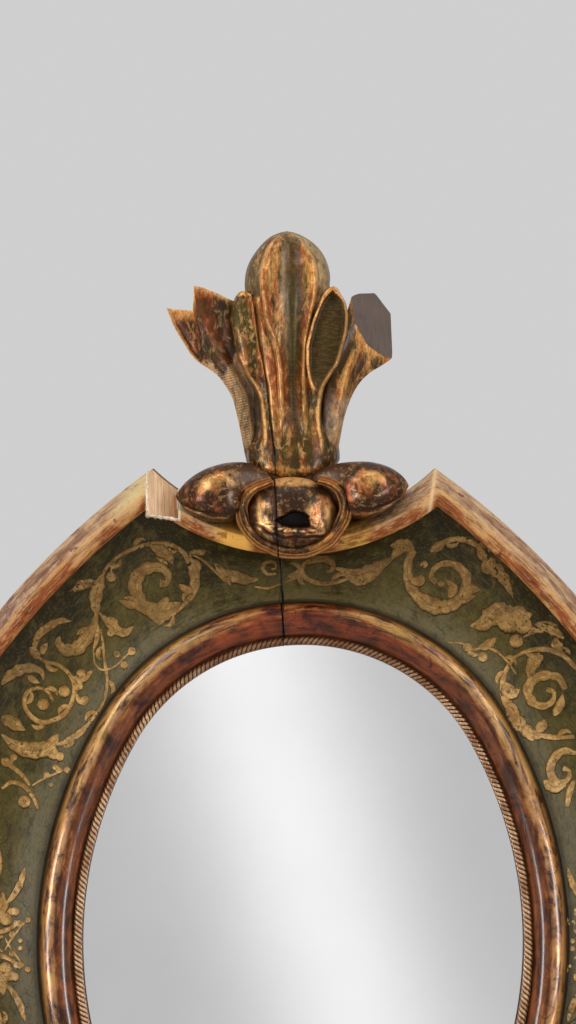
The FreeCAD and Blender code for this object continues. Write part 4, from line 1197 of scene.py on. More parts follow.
def makeMoulding(name, side, material, node):
    # a ledge and a half-round bead, carried round the oval, with a slow unevenness of the hand
    s = mouldingShape
    ledge, seat, count = s["ledge"], s["seat"], s["beadSteps"]
    edge = s["ropeWidth"] + s["beadWidth"]
    turn, even = ovalHalf(side, edge / 2, s["step"], s["gap"])
    one, shares = np.ones(1), np.linspace(0, 1, count)
    bead = arcThrough((s["ropeWidth"] * one, ledge * one),
                      ((s["ropeWidth"] + s["beadWidth"] / 2) * one, s["crown"] * one),
                      (edge * one, s["outer"] * one), shares)
    offset = np.concatenate([[0, 0, 3, 6], bead[0][0], [edge, edge, 20, 0]])
    depth = np.concatenate([[ledge - 3, ledge, ledge, ledge], bead[1][0], [s["outer"] - 4, seat, seat, seat]])
    onBead = np.concatenate([np.zeros(4), shares, np.ones(4)])
    lift = np.concatenate([np.zeros(4), np.sin(np.linspace(0, math.pi, count)), np.zeros(4)])
    swell = ripple((even * 0.031 + side, s["wave"]), (even * 0.083 + 2 * side, s["wave"] * 0.6),
                   (even * 0.21, s["wave"] * 0.3))[:, None]
    flat = ovalPoints(frameShape["sight"], turn[:, None], offset[None, :], ovalPlace)
    points = toScene(flat[..., 0], flat[..., 1], depth + swell * lift)
    makePiece(name, tubeMesh(points, {"round": onBead, "along": even[:, None]}), [material], sharp=50,
              replaces=[node])


def makeRope(name, side, material, node):
    # twisted strands: the radius dips along helical grooves, and the underside is flat on its ledge
    s = ropeShape
    turn, even = ovalHalf(side, mouldingShape["ropeWidth"] / 2, s["step"], mouldingShape["gap"])
    around = np.linspace(0, 2 * math.pi, 26, endpoint=False) - math.pi / 2
    phase = s["strands"] * (around - 2 * math.pi * even[:, None] / s["lead"]) / 2
    groove = 1 - np.abs(np.cos(phase)) ** 0.7
    radius = s["radius"] * (1 - s["groove"] * groove)
    offset = s["centreOffset"] + radius * np.cos(around)
    depth = np.maximum(s["centreDepth"] + radius * np.sin(around), mouldingShape["ledge"] + 0.05)
    flat = ovalPoints(frameShape["sight"], turn[:, None], offset, ovalPlace)
    makePiece(name, tubeMesh(toScene(flat[..., 0], flat[..., 1], depth), {"groove": groove}), [material],
              replaces=[node])


mouldingTones = paints(
    shadow=(46, 18, 6), redTop=(138, 58, 18), redSide=(126, 64, 22), gold=(172, 124, 68), worn=(168, 128, 66),
    shine=(206, 160, 116), crack=(28, 12, 6), outer=(34, 22, 11), joint=(14, 8, 6), speck=(50, 24, 12))
ropeTones = paints(deep=(138, 92, 56), light=(192, 152, 112), top=(96, 56, 26), groove=(58, 32, 14),
                   speck=(70, 40, 20))


def makeMouldingGilt():
    # red varnish in streaks along the bead, rubbed to gold towards its outer side, with a painted highlight and
    # a painted shade line
    s = mouldingTones
    material, where, shader = newMaterial("red varnished moulding")
    onBead, along = mark(where, "round"), mark(where, "along")
    streak = noise(flatPlace(along * 0.00032, onBead * 0.085), 90, 7, 0.7, 0.3)
    cloud = noise(where, 44, 6, 0.66, 0.8)
    fine = noise(where, 460, 4)
    across, _, height = axes(where)
    sideways = ramp(height, ovalHeight + 0.3, ovalHeight + 0.2)
    warm = mixed(sideways, s["redTop"], s["redSide"])
    rubbed = streak * 0.72 + cloud * 0.28 + ramp(onBead, 0.25, 0.85, -0.09, 0.11)
    gold = ramp(rubbed + ramp(sideways, 0, 1, -0.04, 0.03), 0.53, 0.69)
    worn = ramp(onBead, 0.5, 0.68) * ramp(abs(across), 0.025, 0.07)
    worn = worn * ramp(height, ovalHeight + 0.1, ovalHeight + 0.16) * ramp(streak, 0.4, 0.58)
    # painted highlight: a pale streak along the bead's sides, where its gloss would catch the light
    shine = ramp(abs(onBead - 0.62), 0.085, 0.01) * sideways * ramp(cloud, 0.36, 0.56)
    cracks = placeGroup(crackle, "lines", where, scale=55, width=0.016)
    joint = placeGroup(jointLine, "line", where, spot=seamPlace / 1000, height=ovalHeight + 0.28, lean=0,
                       width=0.0009)
    colour = layered(
        mixed(ramp(streak * 0.55 + cloud * 0.45, 0.38, 0.62), s["shadow"], warm),
        (gold * 0.85, s["gold"]),
        (worn * 0.8, s["worn"]),
        (shine * 0.4, s["shine"]),
        (cracks, s["crack"]),
        # painted shade: a dark line along the bead's outer edge, where it meets the cove
        (ramp(onBead + streak * 0.1, 0.88, 0.99) * 0.9, s["outer"]),
        (joint, s["joint"]),
        (ramp(fine, 0.62, 0.7) * 0.5, s["speck"]),
    )
    setShader(shader, streak + fine * 0.2 - cracks, 0.3, 0.0006, colour=colour, roughness=0.2 + cloud * 0.25,
              metallic=gold * 0.35, coat=0.36, coatRoughness=0.17, specular=0.12)
    return material


def makeRopeGilt():
    s = ropeTones
    material, where, shader = newMaterial("rope gilding")
    fine = noise(where, 520, 4)
    colour = layered(
        mixed(ramp(noise(where, 40, 4), 0.36, 0.62), s["deep"], s["light"]),
        (ramp(axes(where)[2], ovalHeight + 0.2, ovalHeight + 0.26) * 0.65, s["top"]),
        # painted shade in the grooves between the strands
        (ramp(mark(where, "groove"), 0.18, 0.55), s["groove"]),
        (ramp(fine, 0.58, 0.68) * 0.5, s["speck"]),
    )
    setShader(shader, fine, 0.2, 0.0004, colour=colour, roughness=0.3 + fine * 0.2, metallic=0.2, coat=0.06,
              specular=0.15)
    return material


mouldingGilt, ropeGilt = makeMouldingGilt(), makeRopeGilt()
for hand, side in hands:
    makeMoulding("moulding_bead_" + hand, side, mouldingGilt, "moulding_" + hand)
for hand, side in hands:
    makeRope("twisted_rope_" + hand, side, ropeGilt, "rope_fillet_" + hand)
print("moulding and rope ready")


# Carved crest. Lines give a height and the x at that height, from the top down.
crestBack = 23
blockFront = 72
plumeLines = {
    "leftEdge": [(625.4, -6.5), (624.6, -12.2), (623.1, -16.6), (619.1, -22.8), (612.9, -29.1), (605.9, -34.6),
        (599.6, -38.5), (591.9, -41.6), (584, -43), (577.8, -43.3), (572.9, -42.9), (572.2, -45.9),
        (570.9, -49.4), (567.9, -51.5), (563.7, -52.9), (554.8, -54.7), (546.5, -55.1), (541, -54.5),
        (525.4, -51.8), (512.9, -48.6), (504, -44.6), (495.2, -42), (482.1, -40.7), (469, -40.2),
        (455.9, -41.1), (445.4, -43.3), (436.6, -44.1), (425.2, -41.6), (416.5, -36.9), (410.9, -25.4),
        (408.6, -8.8)],
    "rightEdge": [(625.4, -5.6), (624.8, -1.8), (624.2, 2.1), (620.7, 10), (615.2, 17.8), (608.2, 24),
        (601.2, 27.9), (593.3, 30.6), (585.6, 31.7), (577.1, 31.3), (576.5, 35), (574.7, 37.8), (570.7, 40.4),
        (560.5, 45.7), (548.8, 47.2), (537.2, 46.6), (525.4, 43.4), (510.2, 39.2), (500.5, 35), (490.9, 34.1),
        (477.8, 35), (464.6, 35.9), (451.5, 37.2), (438.4, 39.4), (427, 40.2), (418.2, 34.1), (414.3, 22.4),
        (410.4, 9.6), (408.6, -3.5)],
    "leftRidge": [(623, -5.7), (621.4, -10.4), (617.3, -16.6), (611.4, -21.3), (598.1, -26.8), (584, -29.1),
        (571.5, -28.3), (560.5, -26), (548.8, -24.7), (538.6, -21), (529.4, -17.1), (517.6, -14),
        (502.4, -11.9), (479, -10.5), (455.9, -9.2), (434, -8.8), (408.6, -8.8)],
    "rightRidge": [(623, -3.1), (620.4, 2.1), (610.3, 10), (599.6, 16.2), (588.7, 18.9), (577.8, 19.3),
        (566, 17.8), (552.7, 14.6), (541, 12.2), (525.4, 9.6), (506.4, 8.6), (490.9, 8), (479, 8.4),
        (455.9, 8.8), (434, 8.8), (408.6, 8.8)],
    "flute": [(623, -2.6), (599.6, -1.8), (560.9, -1), (502.4, -1), (479, -0.2), (448, 1.3), (408.6, 1.8)],
    "crease": [(572.2, -36.1), (567.9, -36), (556.7, -34.2), (541, -32.3), (521.5, -29.5), (514.1, -27.6),
        (500.1, -25.2), (486.8, -22.5), (471.2, -21.3), (455.5, -19.8), (439.9, -18.2), (428.2, -16.6),
        (408.6, -15.8)],
    "leftRim": [(547.8, -54.2), (525.4, -51.8), (512.9, -48.6), (500.8, -42.4), (489.1, -34.6), (479, -29.9),
        (471.2, -28.7), (459.4, -27.6), (447.7, -26.8), (438.4, -26.7), (408.6, -26.7)],
    "rightPodRim": [(576.8, 35.5), (575.2, 31.5), (573.1, 28.4), (569.6, 25.6), (564.5, 23.2), (556.7, 20.1),
        (546.5, 16.2), (533.2, 12.6), (521.5, 10.5), (510.1, 10.5), (498.8, 11.8), (490, 14), (481.2, 15.8),
        (408.6, 15.8)],
    "rightRim": [(537.2, 46.6), (525.4, 43.4), (510.2, 39.2), (498.5, 31.8), (486.8, 25.5), (475.1, 23.2),
        (463.4, 22.4), (451.7, 23.6), (439.9, 25.5), (408.6, 27.1)],
}
plumeShape = {
    # height, axis, half width and front depth of the plain rounded block
    "core": [(625.4, -6.1, 0.5, 60), (624.2, -6.1, 7.9, 64), (620.7, -6, 16.2, 71.5), (615.2, -5.9, 23.2, 77.5),
        (608.2, -5.7, 28.9, 81), (601.2, -5.7, 33.1, 83.5), (593.3, -5.5, 36.1, 85.2),
        (585.6, -5.6, 37.4, 85.6), (577.8, -6, 37.4, 85.4), (565.2, -5.4, 37.8, 84), (547.8, -4.7, 38.9, 81.5),
        (525.9, -4.4, 38.9, 79.5), (503.1, -3.9, 38.3, 77.5), (477.8, -3.1, 37.8, 75.5),
        (451.5, -2.4, 39.4, 75), (434, -2.2, 41.8, 77), (427, -1.8, 41.8, 78.3), (419.1, -1.8, 37.6, 78.3),
        (412.1, -1.8, 27.1, 76), (408.6, -3.5, 3.5, 72)],
    # height, half width and depth of the flute, depth of the left leaf's face and of the right leaf's rims
    "cuts": [(623, 4, 0.2, 79, 82), (612, 6.6, 2.4, 79, 82), (599.6, 8.6, 5, 79, 82), (577, 9.4, 6.6, 79, 82),
        (560.9, 9.2, 6.6, 81.5, 84.5), (540, 8.2, 6, 82.5, 85), (525, 7.2, 5.2, 81.5, 83.5),
        (502.4, 6.2, 4.2, 79, 80.5), (479, 5.6, 3, 77, 78.5), (448, 5, 1.2, 76, 77), (430, 4, 0, 76, 77),
        (408.6, 4, 0, 76, 77)],
    "leafLift": 4, "leafDish": 4.2, "ridge": 2.6, "podHollow": 7.5, "sideHollow": 9, "rim": 1.7, "crease": 2.2,
        "leftTip": (-43.9, 558, 9.8, 14.6), "columns": 168,
}


def makePlume(materials):
    # one carved block: a rounded body, on it a dished leaf with a flute between two ridges, a flat leaf on the
    # left, a hollow leaf with rims on the right, and two hollows beside the stem
    s = plumeShape
    height = np.unique(np.concatenate([np.linspace(408.6, 625.4, 236), np.linspace(562, 578, 60),
        np.linspace(618, 625.4, 20), np.linspace(408.6, 414, 12)]))[::-1]
    line = {name: smoothRows(points, height, True) for name, points in plumeLines.items()}
    axis, half, front = columnsAt(s["core"], height, True)
    fluteWidth, fluteDepth, leftFace, rightFace = columnsAt(s["cuts"], height, True)
    h = height[:, None]
    left, right = line["leftEdge"], line["rightEdge"]
    q = np.linspace(-1, 1, s["columns"])
    x = (left + right) / 2 + (right - left) / 2 * (0.7 * q + 0.3 * np.sin(q * math.pi / 2))[None, :]
    side = crestBack + (front - crestBack) * 0.42
    squareness = 2.3 + 0.8 * ease(575, 535, h)
    depth = side + (front - side) * held(1 - np.abs((x - axis) / half) ** squareness) ** 0.52

    # leaf in the middle
    l, r = line["leftRidge"], line["rightRidge"]
    u = (x - (l + r) / 2) / np.maximum((r - l) / 2, 0.5)
    fade = band(h, 438, 482, 606, 626)
    leaf = ease(1.05, 0.95, np.abs(u)) * fade
    ridge = (bump(x, l, 1.6) + bump(x, r, 1.6)) * fade
    flute = bump(x, line["flute"], fluteWidth)
    dished = s["leafLift"] - s["leafDish"] * held(1 - u**2)
    depth = depth + leaf * dished + s["ridge"] * ridge - fluteDepth * flute
    depth = depth - 1.4 * (bump(x, l - 3, 1.4) + bump(x, r + 3, 1.4)) * fade

    # flat leaf on the left, with the strip between it and the ridge
    crease = line["crease"]
    strip = between(x, crease, l - 1.2, 0.6) * band(h, 436, 466, 565.5, 569)
    tipX, tipH, tipWide, tipHigh = s["leftTip"]
    inTip = ease(1.1, 0.92, ((x - tipX) / tipWide) ** 2 + ((h - tipH) / tipHigh) ** 2)
    pod = np.where(h > tipH, inTip, ease(0.6, -0.6, x - crease)) * ease(484, 508, h)
    v = np.clip((x - (left + crease) / 2) / ((crease - left) / 2), -1, 1)
    depth = depth + 1.6 * strip
    depth = depth * (1 - pod) + (leftFace - 6.5 * held(-v)**2.4 - 1 * held(1 - v**2)) * pod
    cut = bump(x, crease, 0.85) * band(h, 418, 434, 567, 571)
    depth = depth - s["crease"] * cut

    # hollow leaf on the right
    podRim, bound = line["rightPodRim"], np.where(h > 537.2, right, line["rightRim"])
    rimWidth = 2.6 + 4 * bump(h, 575, 8)
    inPod = (ease(-0.5, 0.5, x - podRim) * ease(0.8, -0.2, x - bound)
             * ease(577.1, 576.4, h) * ease(476, 494, h))
    inner = np.minimum(x - podRim, bound - x)
    well = ease(rimWidth * 0.7, rimWidth * 1.7, inner) * ease(482, 500, h) * inPod
    podFace = rightFace - s["podHollow"] * well - 4 * ease(2.6, 0, bound - x) ** 2
    depth = depth * (1 - inPod) + podFace * inPod
    podEdge = inPod * (1 - well)

    # hollows beside the stem, each with a rim
    leftRim, rightRim = line["leftRim"], line["rightRim"]
    leftWell = ease(0.2, -3, x - leftRim) * band(h, 438, 454, 498, 514)
    rightWell = ease(-0.2, 2.6, x - rightRim) * band(h, 444, 468, 490, 506)
    rims = (bump(x, leftRim + 1.5, 1.6) * band(h, 434, 441, 500, 524)
            + bump(x, rightRim - 1.4, 1.6) * band(h, 428, 440, 500, 530))
    depth = depth - s["sideHollow"] * (leftWell + 0.9 * rightWell) + s["rim"] * rims
    depth = depth - 4.5 * ease(2.4, 0, np.minimum(x - left, right - x))
    depth = depth + ripple((h * 0.045 + x * 0.13, 0.35), (h * 0.071 - x * 0.21, 0.25))
    depth = np.maximum(depth, crestBack + 6)

    back = np.full_like(left, crestBack)
    xLoop = np.concatenate([x, right, right * 0.4 + left * 0.6, left], 1)
    depthLoop = np.concatenate([depth, back, back, back], 1)
    blade = leaf * held(1 - flute**1.6) * ease(470, 545, h)
    # pale gold on the ridges, rims and crease: rubbed gilding and a painted highlight
    edge = held(bump(x, l, 1.2) * fade + bump(x, r, 1.2) * fade + podEdge * bump(inner, 1.6, 1.3) + 0.8 * rims
        + strip * bump(x, crease + 1.4, 0.8))
    red = held((bump(x, l + 3.6, 2.2) + bump(x, r - 3.6, 2)) * fade + 0.7 * podEdge + 0.8 * strip
        + 0.5 * rims + 0.9 * pod * bump(h, 562, 4))
    crack = bump(x, crease, 0.75) * ease(462, 450, h)
    shell = held(1 - leaf - strip - pod - inPod - ridge) * ease(545, 572, h)
    # painted highlight: paler towards the right of the shell and by its right edge, and a painted sheen down
    # the flute's left slope
    pale = shell * (0.35 + 0.6 * ease(-6, 14, x)) * (0.45 + 0.55 * bump(x - right, -9, 6))
    pale = held(pale + 0.55 * bump(x, line["flute"] - 0.85 * fluteWidth, 2.4) * ease(470, 545, h)
        * ease(618, 600, h))
    lip = bump(h, 416, 3)
    wear = held(0.6 * ridge + 0.4 * blade + 0.4 * strip + 0.8 * podEdge + 0.7 * rims + 0.5 * lip
        + pod * (bump(v, 1, 0.16) + ease(566, 571, h) + 0.35 * ease(540, 500, h)))
    # painted shade along the outline at the top of the dome
    rimShade = ease(5, 0.5, np.minimum(x - left, right - x)) * ease(572, 580, h)
    # the hollow mark: painted shade in the flute, the pod's well, the crease and the hollows beside the stem
    low = held(flute**1.1 * ease(0, 2, fluteDepth) * 0.9 + well + cut + 0.55 * (leftWell + rightWell)
        + 0.5 * rimShade)
    green = held(1.2 * pod * band(h, 500, 540, 560, 569) * ease(0.9, 0.2, v)
        + 0.7 * flute**2 * fade + 0.4 * well + 0.5 * ease(490, 440, h) * between(x, -18, 25, 6))
    grey = held(leftWell + 0.8 * rightWell)
    still = np.zeros((len(height), 3))
    marks = {"wear": wear, "hollow": low, "shell": shell, "green": green, "grey": grey, "edge": edge,
        "red": red, "pit": crack, "pale": pale}
    marks = {name: np.concatenate([value, still], 1) for name, value in marks.items()}
    mesh = tubeMesh(toScene(xLoop, h, depthLoop), marks)
    column = np.arange(len(mesh[1])) % xLoop.shape[1]
    bare = np.concatenate([np.isin(column, [s["columns"], s["columns"] + 1]), np.zeros(len(mesh[2]))])
    makePiece("plume_carved", mesh, materials, sharp=70, materialOf=bare,
        replaces=["crest_plume"])


leafShape = {
    # left edge and right edge from the stem up, and the end with its two points, in x and height
    "left": [(-37, 408), (-40.2, 418), (-43.2, 432), (-46.4, 448), (-49.9, 464.6), (-54.3, 480.4),
        (-60.4, 490.9), (-66.5, 498.8), (-76.1, 505.8), (-84.9, 511.9), (-91, 518.9), (-95.4, 525.9),
        (-103.3, 539), (-111.1, 557.4)],
    "right": [(-22, 412), (-25, 428), (-28, 451.5), (-31.5, 473.4), (-38.5, 495.3), (-43, 512.8), (-46, 530.3),
        (-48, 547.8), (-48, 562)],
    "end": [(-111.1, 557.4), (-99.8, 556.5), (-88.4, 555.6), (-87.9, 567), (-87.5, 577.5), (-79.6, 575.8),
        (-68.3, 571.4), (-57.8, 566.1), (-48, 562)],
    "thickness": 17, "stemDepth": 61, "tipDepth": 69, "hollow": 8, "swell": 7, "cutPitch": 2.3,
        "cutDepth": 0.42,
}


def edgePatch(left, right, foot, end, rows, cols):
    # a sheet stretched between four edges: the two ways of joining opposite edges, added, less the
    # plain patch of the corners
    l, r = curveThrough(left, rows), curveThrough(right, rows)
    f, e = evenPoints(np.array(foot), cols), evenPoints(np.array(end), cols)
    t, q = np.linspace(0, 1, rows)[:, None, None], np.linspace(0, 1, cols)[None, :, None]
    corners = (1 - t) * ((1 - q) * f[0] + q * f[-1]) + t * ((1 - q) * e[0] + q * e[-1])
    return (1 - t) * f[None] + t * e[None] + (1 - q) * l[:, None] + q * r[:, None] - corners


def makeLeftLeaf(materials):
    # the sheet swells on its stem, where small gouge cuts cross it, and hollows towards its two points
    s = leafShape
    rows, cols = 440, 76
    flat = edgePatch(s["left"], s["right"], [s["left"][0], s["right"][0]], s["end"], rows, cols)
    t, q = np.linspace(0, 1, rows)[:, None], np.linspace(0, 1, cols)[None, :]
    arch = 4 * q * (1 - q)
    opened = ease(0.42, 0.82, t)
    depth = s["stemDepth"] + (s["tipDepth"] - s["stemDepth"]) * t**2 - s["hollow"] * arch**0.8 * opened
    stem = 1 - opened
    depth = depth - 16 * ease(0.24, 0.04, t) + s["swell"] * np.sin(math.pi * held(q / 0.72)) * stem
    depth = depth - 8 * ease(0.5, 0.85, q) * stem
    cuts = stem * ease(0.14, 0.26, t) * ease(0.72, 0.55, q) * ease(0, 0.08, q)
    wave = np.sin(2 * math.pi * (flat[..., 1] - 0.25 * flat[..., 0]) / s["cutPitch"])
    depth = depth + s["cutDepth"] * cuts * wave
    depth = depth + 2.5 * bump(q, 0, 0.05) * opened - 5 * ease(0.75, 1, q) * opened
    depth = depth + opened * ripple((q * 19 + t * 4, 0.35), (q * 41 - t * 9, 0.2))
    back = depth - s["thickness"] * (0.45 + 0.55 * arch) * (1 - 0.55 * ease(0.8, 1, t))
    tip = ease(0.88, 1, t)
    wear = held(np.maximum(tip * (1 - q * 0.75), bump(q, 0, 0.035) * opened)
        + 0.3 * bump(q, 0.5, 0.14) * opened + 0.35 * cuts)
    ripples = cuts * (0.5 - 0.5 * wave)
    # painted shade in the dished middle of the leaf and in the troughs of the gouge cuts
    low = held(arch * opened * (1 - tip) * 0.42 + 0.1 * opened + 0.4 * ripples)
    grey = ease(0.6, 0.85, q) * stem
    # pale gold along the left edge and the points: rubbed gilding and a painted highlight
    edge = held(bump(q, 0, 0.022) * opened + 0.8 * bump(t, 1, 0.018))
    red = held(0.9 * bump(q, 0.46 + 0.12 * t, 0.11) * opened + 0.5 * tip * bump(q, 0.3, 0.25)
        + 0.4 * bump(q, 0.08, 0.05) * opened)
    green = 0.75 * opened * bump(q, 0.25 + 0.3 * t, 0.16) * (1 - tip)
    marks = {"wear": wear, "hollow": low, "shell": stem * 2, "grey": grey, "edge": edge, "red": red,
        "green": green}
    mesh = shellMesh(toScene(flat[..., 0], flat[..., 1], depth), toScene(flat[..., 0], flat[..., 1], back),
        marks)
    front = (rows - 1) * (cols - 1)
    bare = (np.arange(len(mesh[1])) >= front) & (np.arange(len(mesh[1])) < 2 * front)
    makePiece("leaf_two_points", mesh, materials, sharp=50, materialOf=bare,
        replaces=["crest_leaf_left"])


hornShape = {
    "plane": (49, 70, 0.8),  # reach, depth and slope of the saw cut
    "cut": [(49.9, 567.9), (56.9, 570.5), (70.9, 571.4), (84.9, 553.9), (86.6, 514.5), (77.9, 516.3),
        (63.9, 525.9), (53.4, 544.3)],
    # centre x, centre height, half width, half depth, depth of the centre, share of the cut's own shape
    "rows": [(24, 406, 8, 8, 42, 0), (27.5, 424, 9, 10, 46, 0), (30.5, 444, 10, 12.5, 54, 0),
        (33.5, 462, 10.5, 13, 58, 0.03), (37.5, 480, 12.5, 14, 58.5, 0.12), (43, 497, 15.5, 15, 59, 0.3),
        (51, 513, 19, 16, 58.5, 0.55), (60.5, 530, 24, 17, 57, 0.82), (68.5, 545.5, 28, 18, 54.5, 1)],
}


def makeSawnLeaf(materials):
    # a stem of oval sections that opens step by step into the outline of the saw cut
    s = hornShape
    cut = np.array(s["cut"])
    middle = cut.mean(0)
    turn = np.linspace(0, 2 * math.pi, 72, endpoint=False)
    angle = math.radians(-60) - turn
    nextCut = np.roll(cut, -1, 0)
    ray = np.stack([np.cos(angle), np.sin(angle)], -1)[:, None, :]
    a, b = (cut - middle)[None], (nextCut - cut)[None]
    cross = ray[..., 0] * b[..., 1] - ray[..., 1] * b[..., 0]
    reach = (a[..., 0] * b[..., 1] - a[..., 1] * b[..., 0]) / cross
    along = (a[..., 0] * ray[..., 1] - a[..., 1] * ray[..., 0]) / cross
    reach = np.where((along >= -1e-6) & (along <= 1 + 1e-6) & (reach > 0), reach, np.inf).min(1)
    shape = ray[:, 0, :] * reach[:, None]
    place0, depth0, slope = s["plane"]
    rows = np.array(s["rows"])
    table = np.column_stack([np.linspace(0, 1, len(rows)), rows])
    t = np.linspace(0, 1, 120)
    cx, ch, half, halfDepth, cd, share = columnsAt(table, t)
    share = held(share)
    size = half / rows[-1, 2]
    x = cx + (1 - share) * half * np.cos(turn) + share * size * shape[:, 0]
    height = ch + share * size * shape[:, 1]
    depth = (1 - share) * (cd + halfDepth * np.sin(turn)) + share * (cd - slope * (x - cx))
    lastX, lastH = middle[0] + shape[:, 0], middle[1] + shape[:, 1]
    end = ease(0.8, 1, t)[:, None]
    x = x * (1 - end) + lastX * end
    height = height * (1 - end) + lastH * end
    depth = depth * (1 - end) + (depth0 - slope * (lastX - place0)) * end
    folds = ease(0.42, 0.78, t)[:, None] * (1 - end)
    depth = depth + folds * 0.9 * np.sin(turn * 5 + 1) * held(np.sin(turn))
    wear = held(0.5 * end + 0.3 * bump(np.sin(turn), 0.7, 0.4))
    # painted shade down the stem's left side, towards the plume, and in the troughs of the folds
    low = held(0.6 * bump(np.cos(turn), -0.7, 0.4) + 0.45 * folds * (np.sin(turn * 5 + 1) < -0.2))
    stem = (1 - ease(0.38, 0.66, t))[:, None]
    marks = {"wear": wear, "hollow": low, "shell": 1.2 * stem, "grey": stem * bump(np.cos(turn), -0.8, 0.5),
        "green": 0.5 * (1 - stem) * ease(0.4, -0.6, np.cos(turn))}
    flat, quads, triangles, marks = tubeMesh(toScene(x, height, depth), marks)
    sawn = np.concatenate([np.zeros(len(quads)), np.zeros(len(turn)), np.ones(len(turn))])
    makePiece("leaf_sawn", (flat, quads, triangles, marks), materials, sharp=40, materialOf=sawn,
        replaces=["crest_leaf_right"])


lobeShapes = {
    # x, top, bottom and front depth, from the outer point to the end under the plume
    "lobe_left": [(-103.2, 393.8, 392.9, 73.5), (-99.8, 399.4, 387.6, 79), (-94.5, 405.6, 381.5, 85),
        (-87.5, 411.4, 376.7, 91), (-79.6, 416.1, 373.2, 95.5), (-71.8, 419.3, 371, 97.5),
        (-63, 421.8, 370.1, 97.5), (-56.9, 422.8, 370.5, 96), (-50.8, 423.2, 373.2, 93),
        (-44.6, 423.2, 378.9, 89), (-38.5, 422.2, 386.8, 85.5), (-32.4, 420, 393.8, 82.5),
        (-26.2, 416.9, 399.9, 79.5), (-21, 413, 404.2, 76.5), (-18.4, 409.5, 407.8, 73)],
    "lobe_right": [(99.8, 403.4, 402.1, 73.5), (96.7, 408.6, 396.4, 79), (91.9, 413.4, 389.4, 85),
        (84.9, 418, 383.2, 91), (77, 421.1, 378.4, 95.5), (68.2, 423.2, 374.9, 97.5),
        (59.5, 423.8, 373.6, 97.5), (53.4, 423.7, 374.1, 96), (47.2, 423.3, 376.2, 93),
        (41.1, 422.6, 381.5, 89), (35, 421.3, 387.6, 85.5), (28.9, 419.1, 393.8, 82.5),
        (22.8, 416.5, 399.9, 79.5), (17.5, 413, 404.2, 76.5), (14.9, 409.5, 407.8, 73)],
}


def makeLobe(name, material, node):
    # half a bean: each upright section is half round, with a line cut along the outer lower edge
    table = np.array(lobeShapes[name])
    t = np.linspace(0, 1, len(table))
    at = (1 - np.cos(np.linspace(0, math.pi, 110))) / 2
    x, top, bottom, peak = columnsAt(np.column_stack([t, table]), at)
    around = np.linspace(0, math.pi, 61)[None, :]
    outer = ease(0.04, 0.12, at)[:, None] * ease(0.62, 0.45, at)[:, None]
    groove = bump(around, 2.36, 0.085) * outer
    lip = bump(around, 2.56, 0.10) * outer
    height = (top + bottom) / 2 + (top - bottom) / 2 * np.cos(around)
    depth = blockFront + (peak - blockFront) * np.sin(around) ** 0.85 - 1.6 * groove + 0.8 * lip
    depth = depth + ripple((x * 0.21 + height * 0.13, 0.3), (x * 0.09 - height * 0.33, 0.3)) * np.sin(around)
    inside = ease(0.55, 0.8, at)[:, None] * np.ones_like(around)
    wear = held(lip * 0.5 + 0.6 * bump(around, 1.2, 0.42) * bump(at[:, None], 0.36, 0.17))
    # painted shade in the cut line, along the underside and towards the inner end by the plume
    low = held(groove * 1.2 + ease(2.8, 3.1, around) + 0.3 * inside)
    shell = np.clip(ease(1.1, 0.3, around) + inside + 0.6 * ease(0.22, 0.05, at)[:, None], 0, 1.3)
    marks = {"wear": wear, "hollow": low, "shell": shell}
    makePiece(name, tubeMesh(toScene(x * np.ones_like(around), height, depth), marks), [material],
        sharp=60, replaces=[node])


bossShape = {
    "centre": (-2, 378), "half": (40.5, 32.5), "rise": 27,
    "mouth": (0.4, 372.8), "mouthHalf": (14.5, 7.6), "mouthDepth": 12, "lip": 1.8, "beads": 9,
}


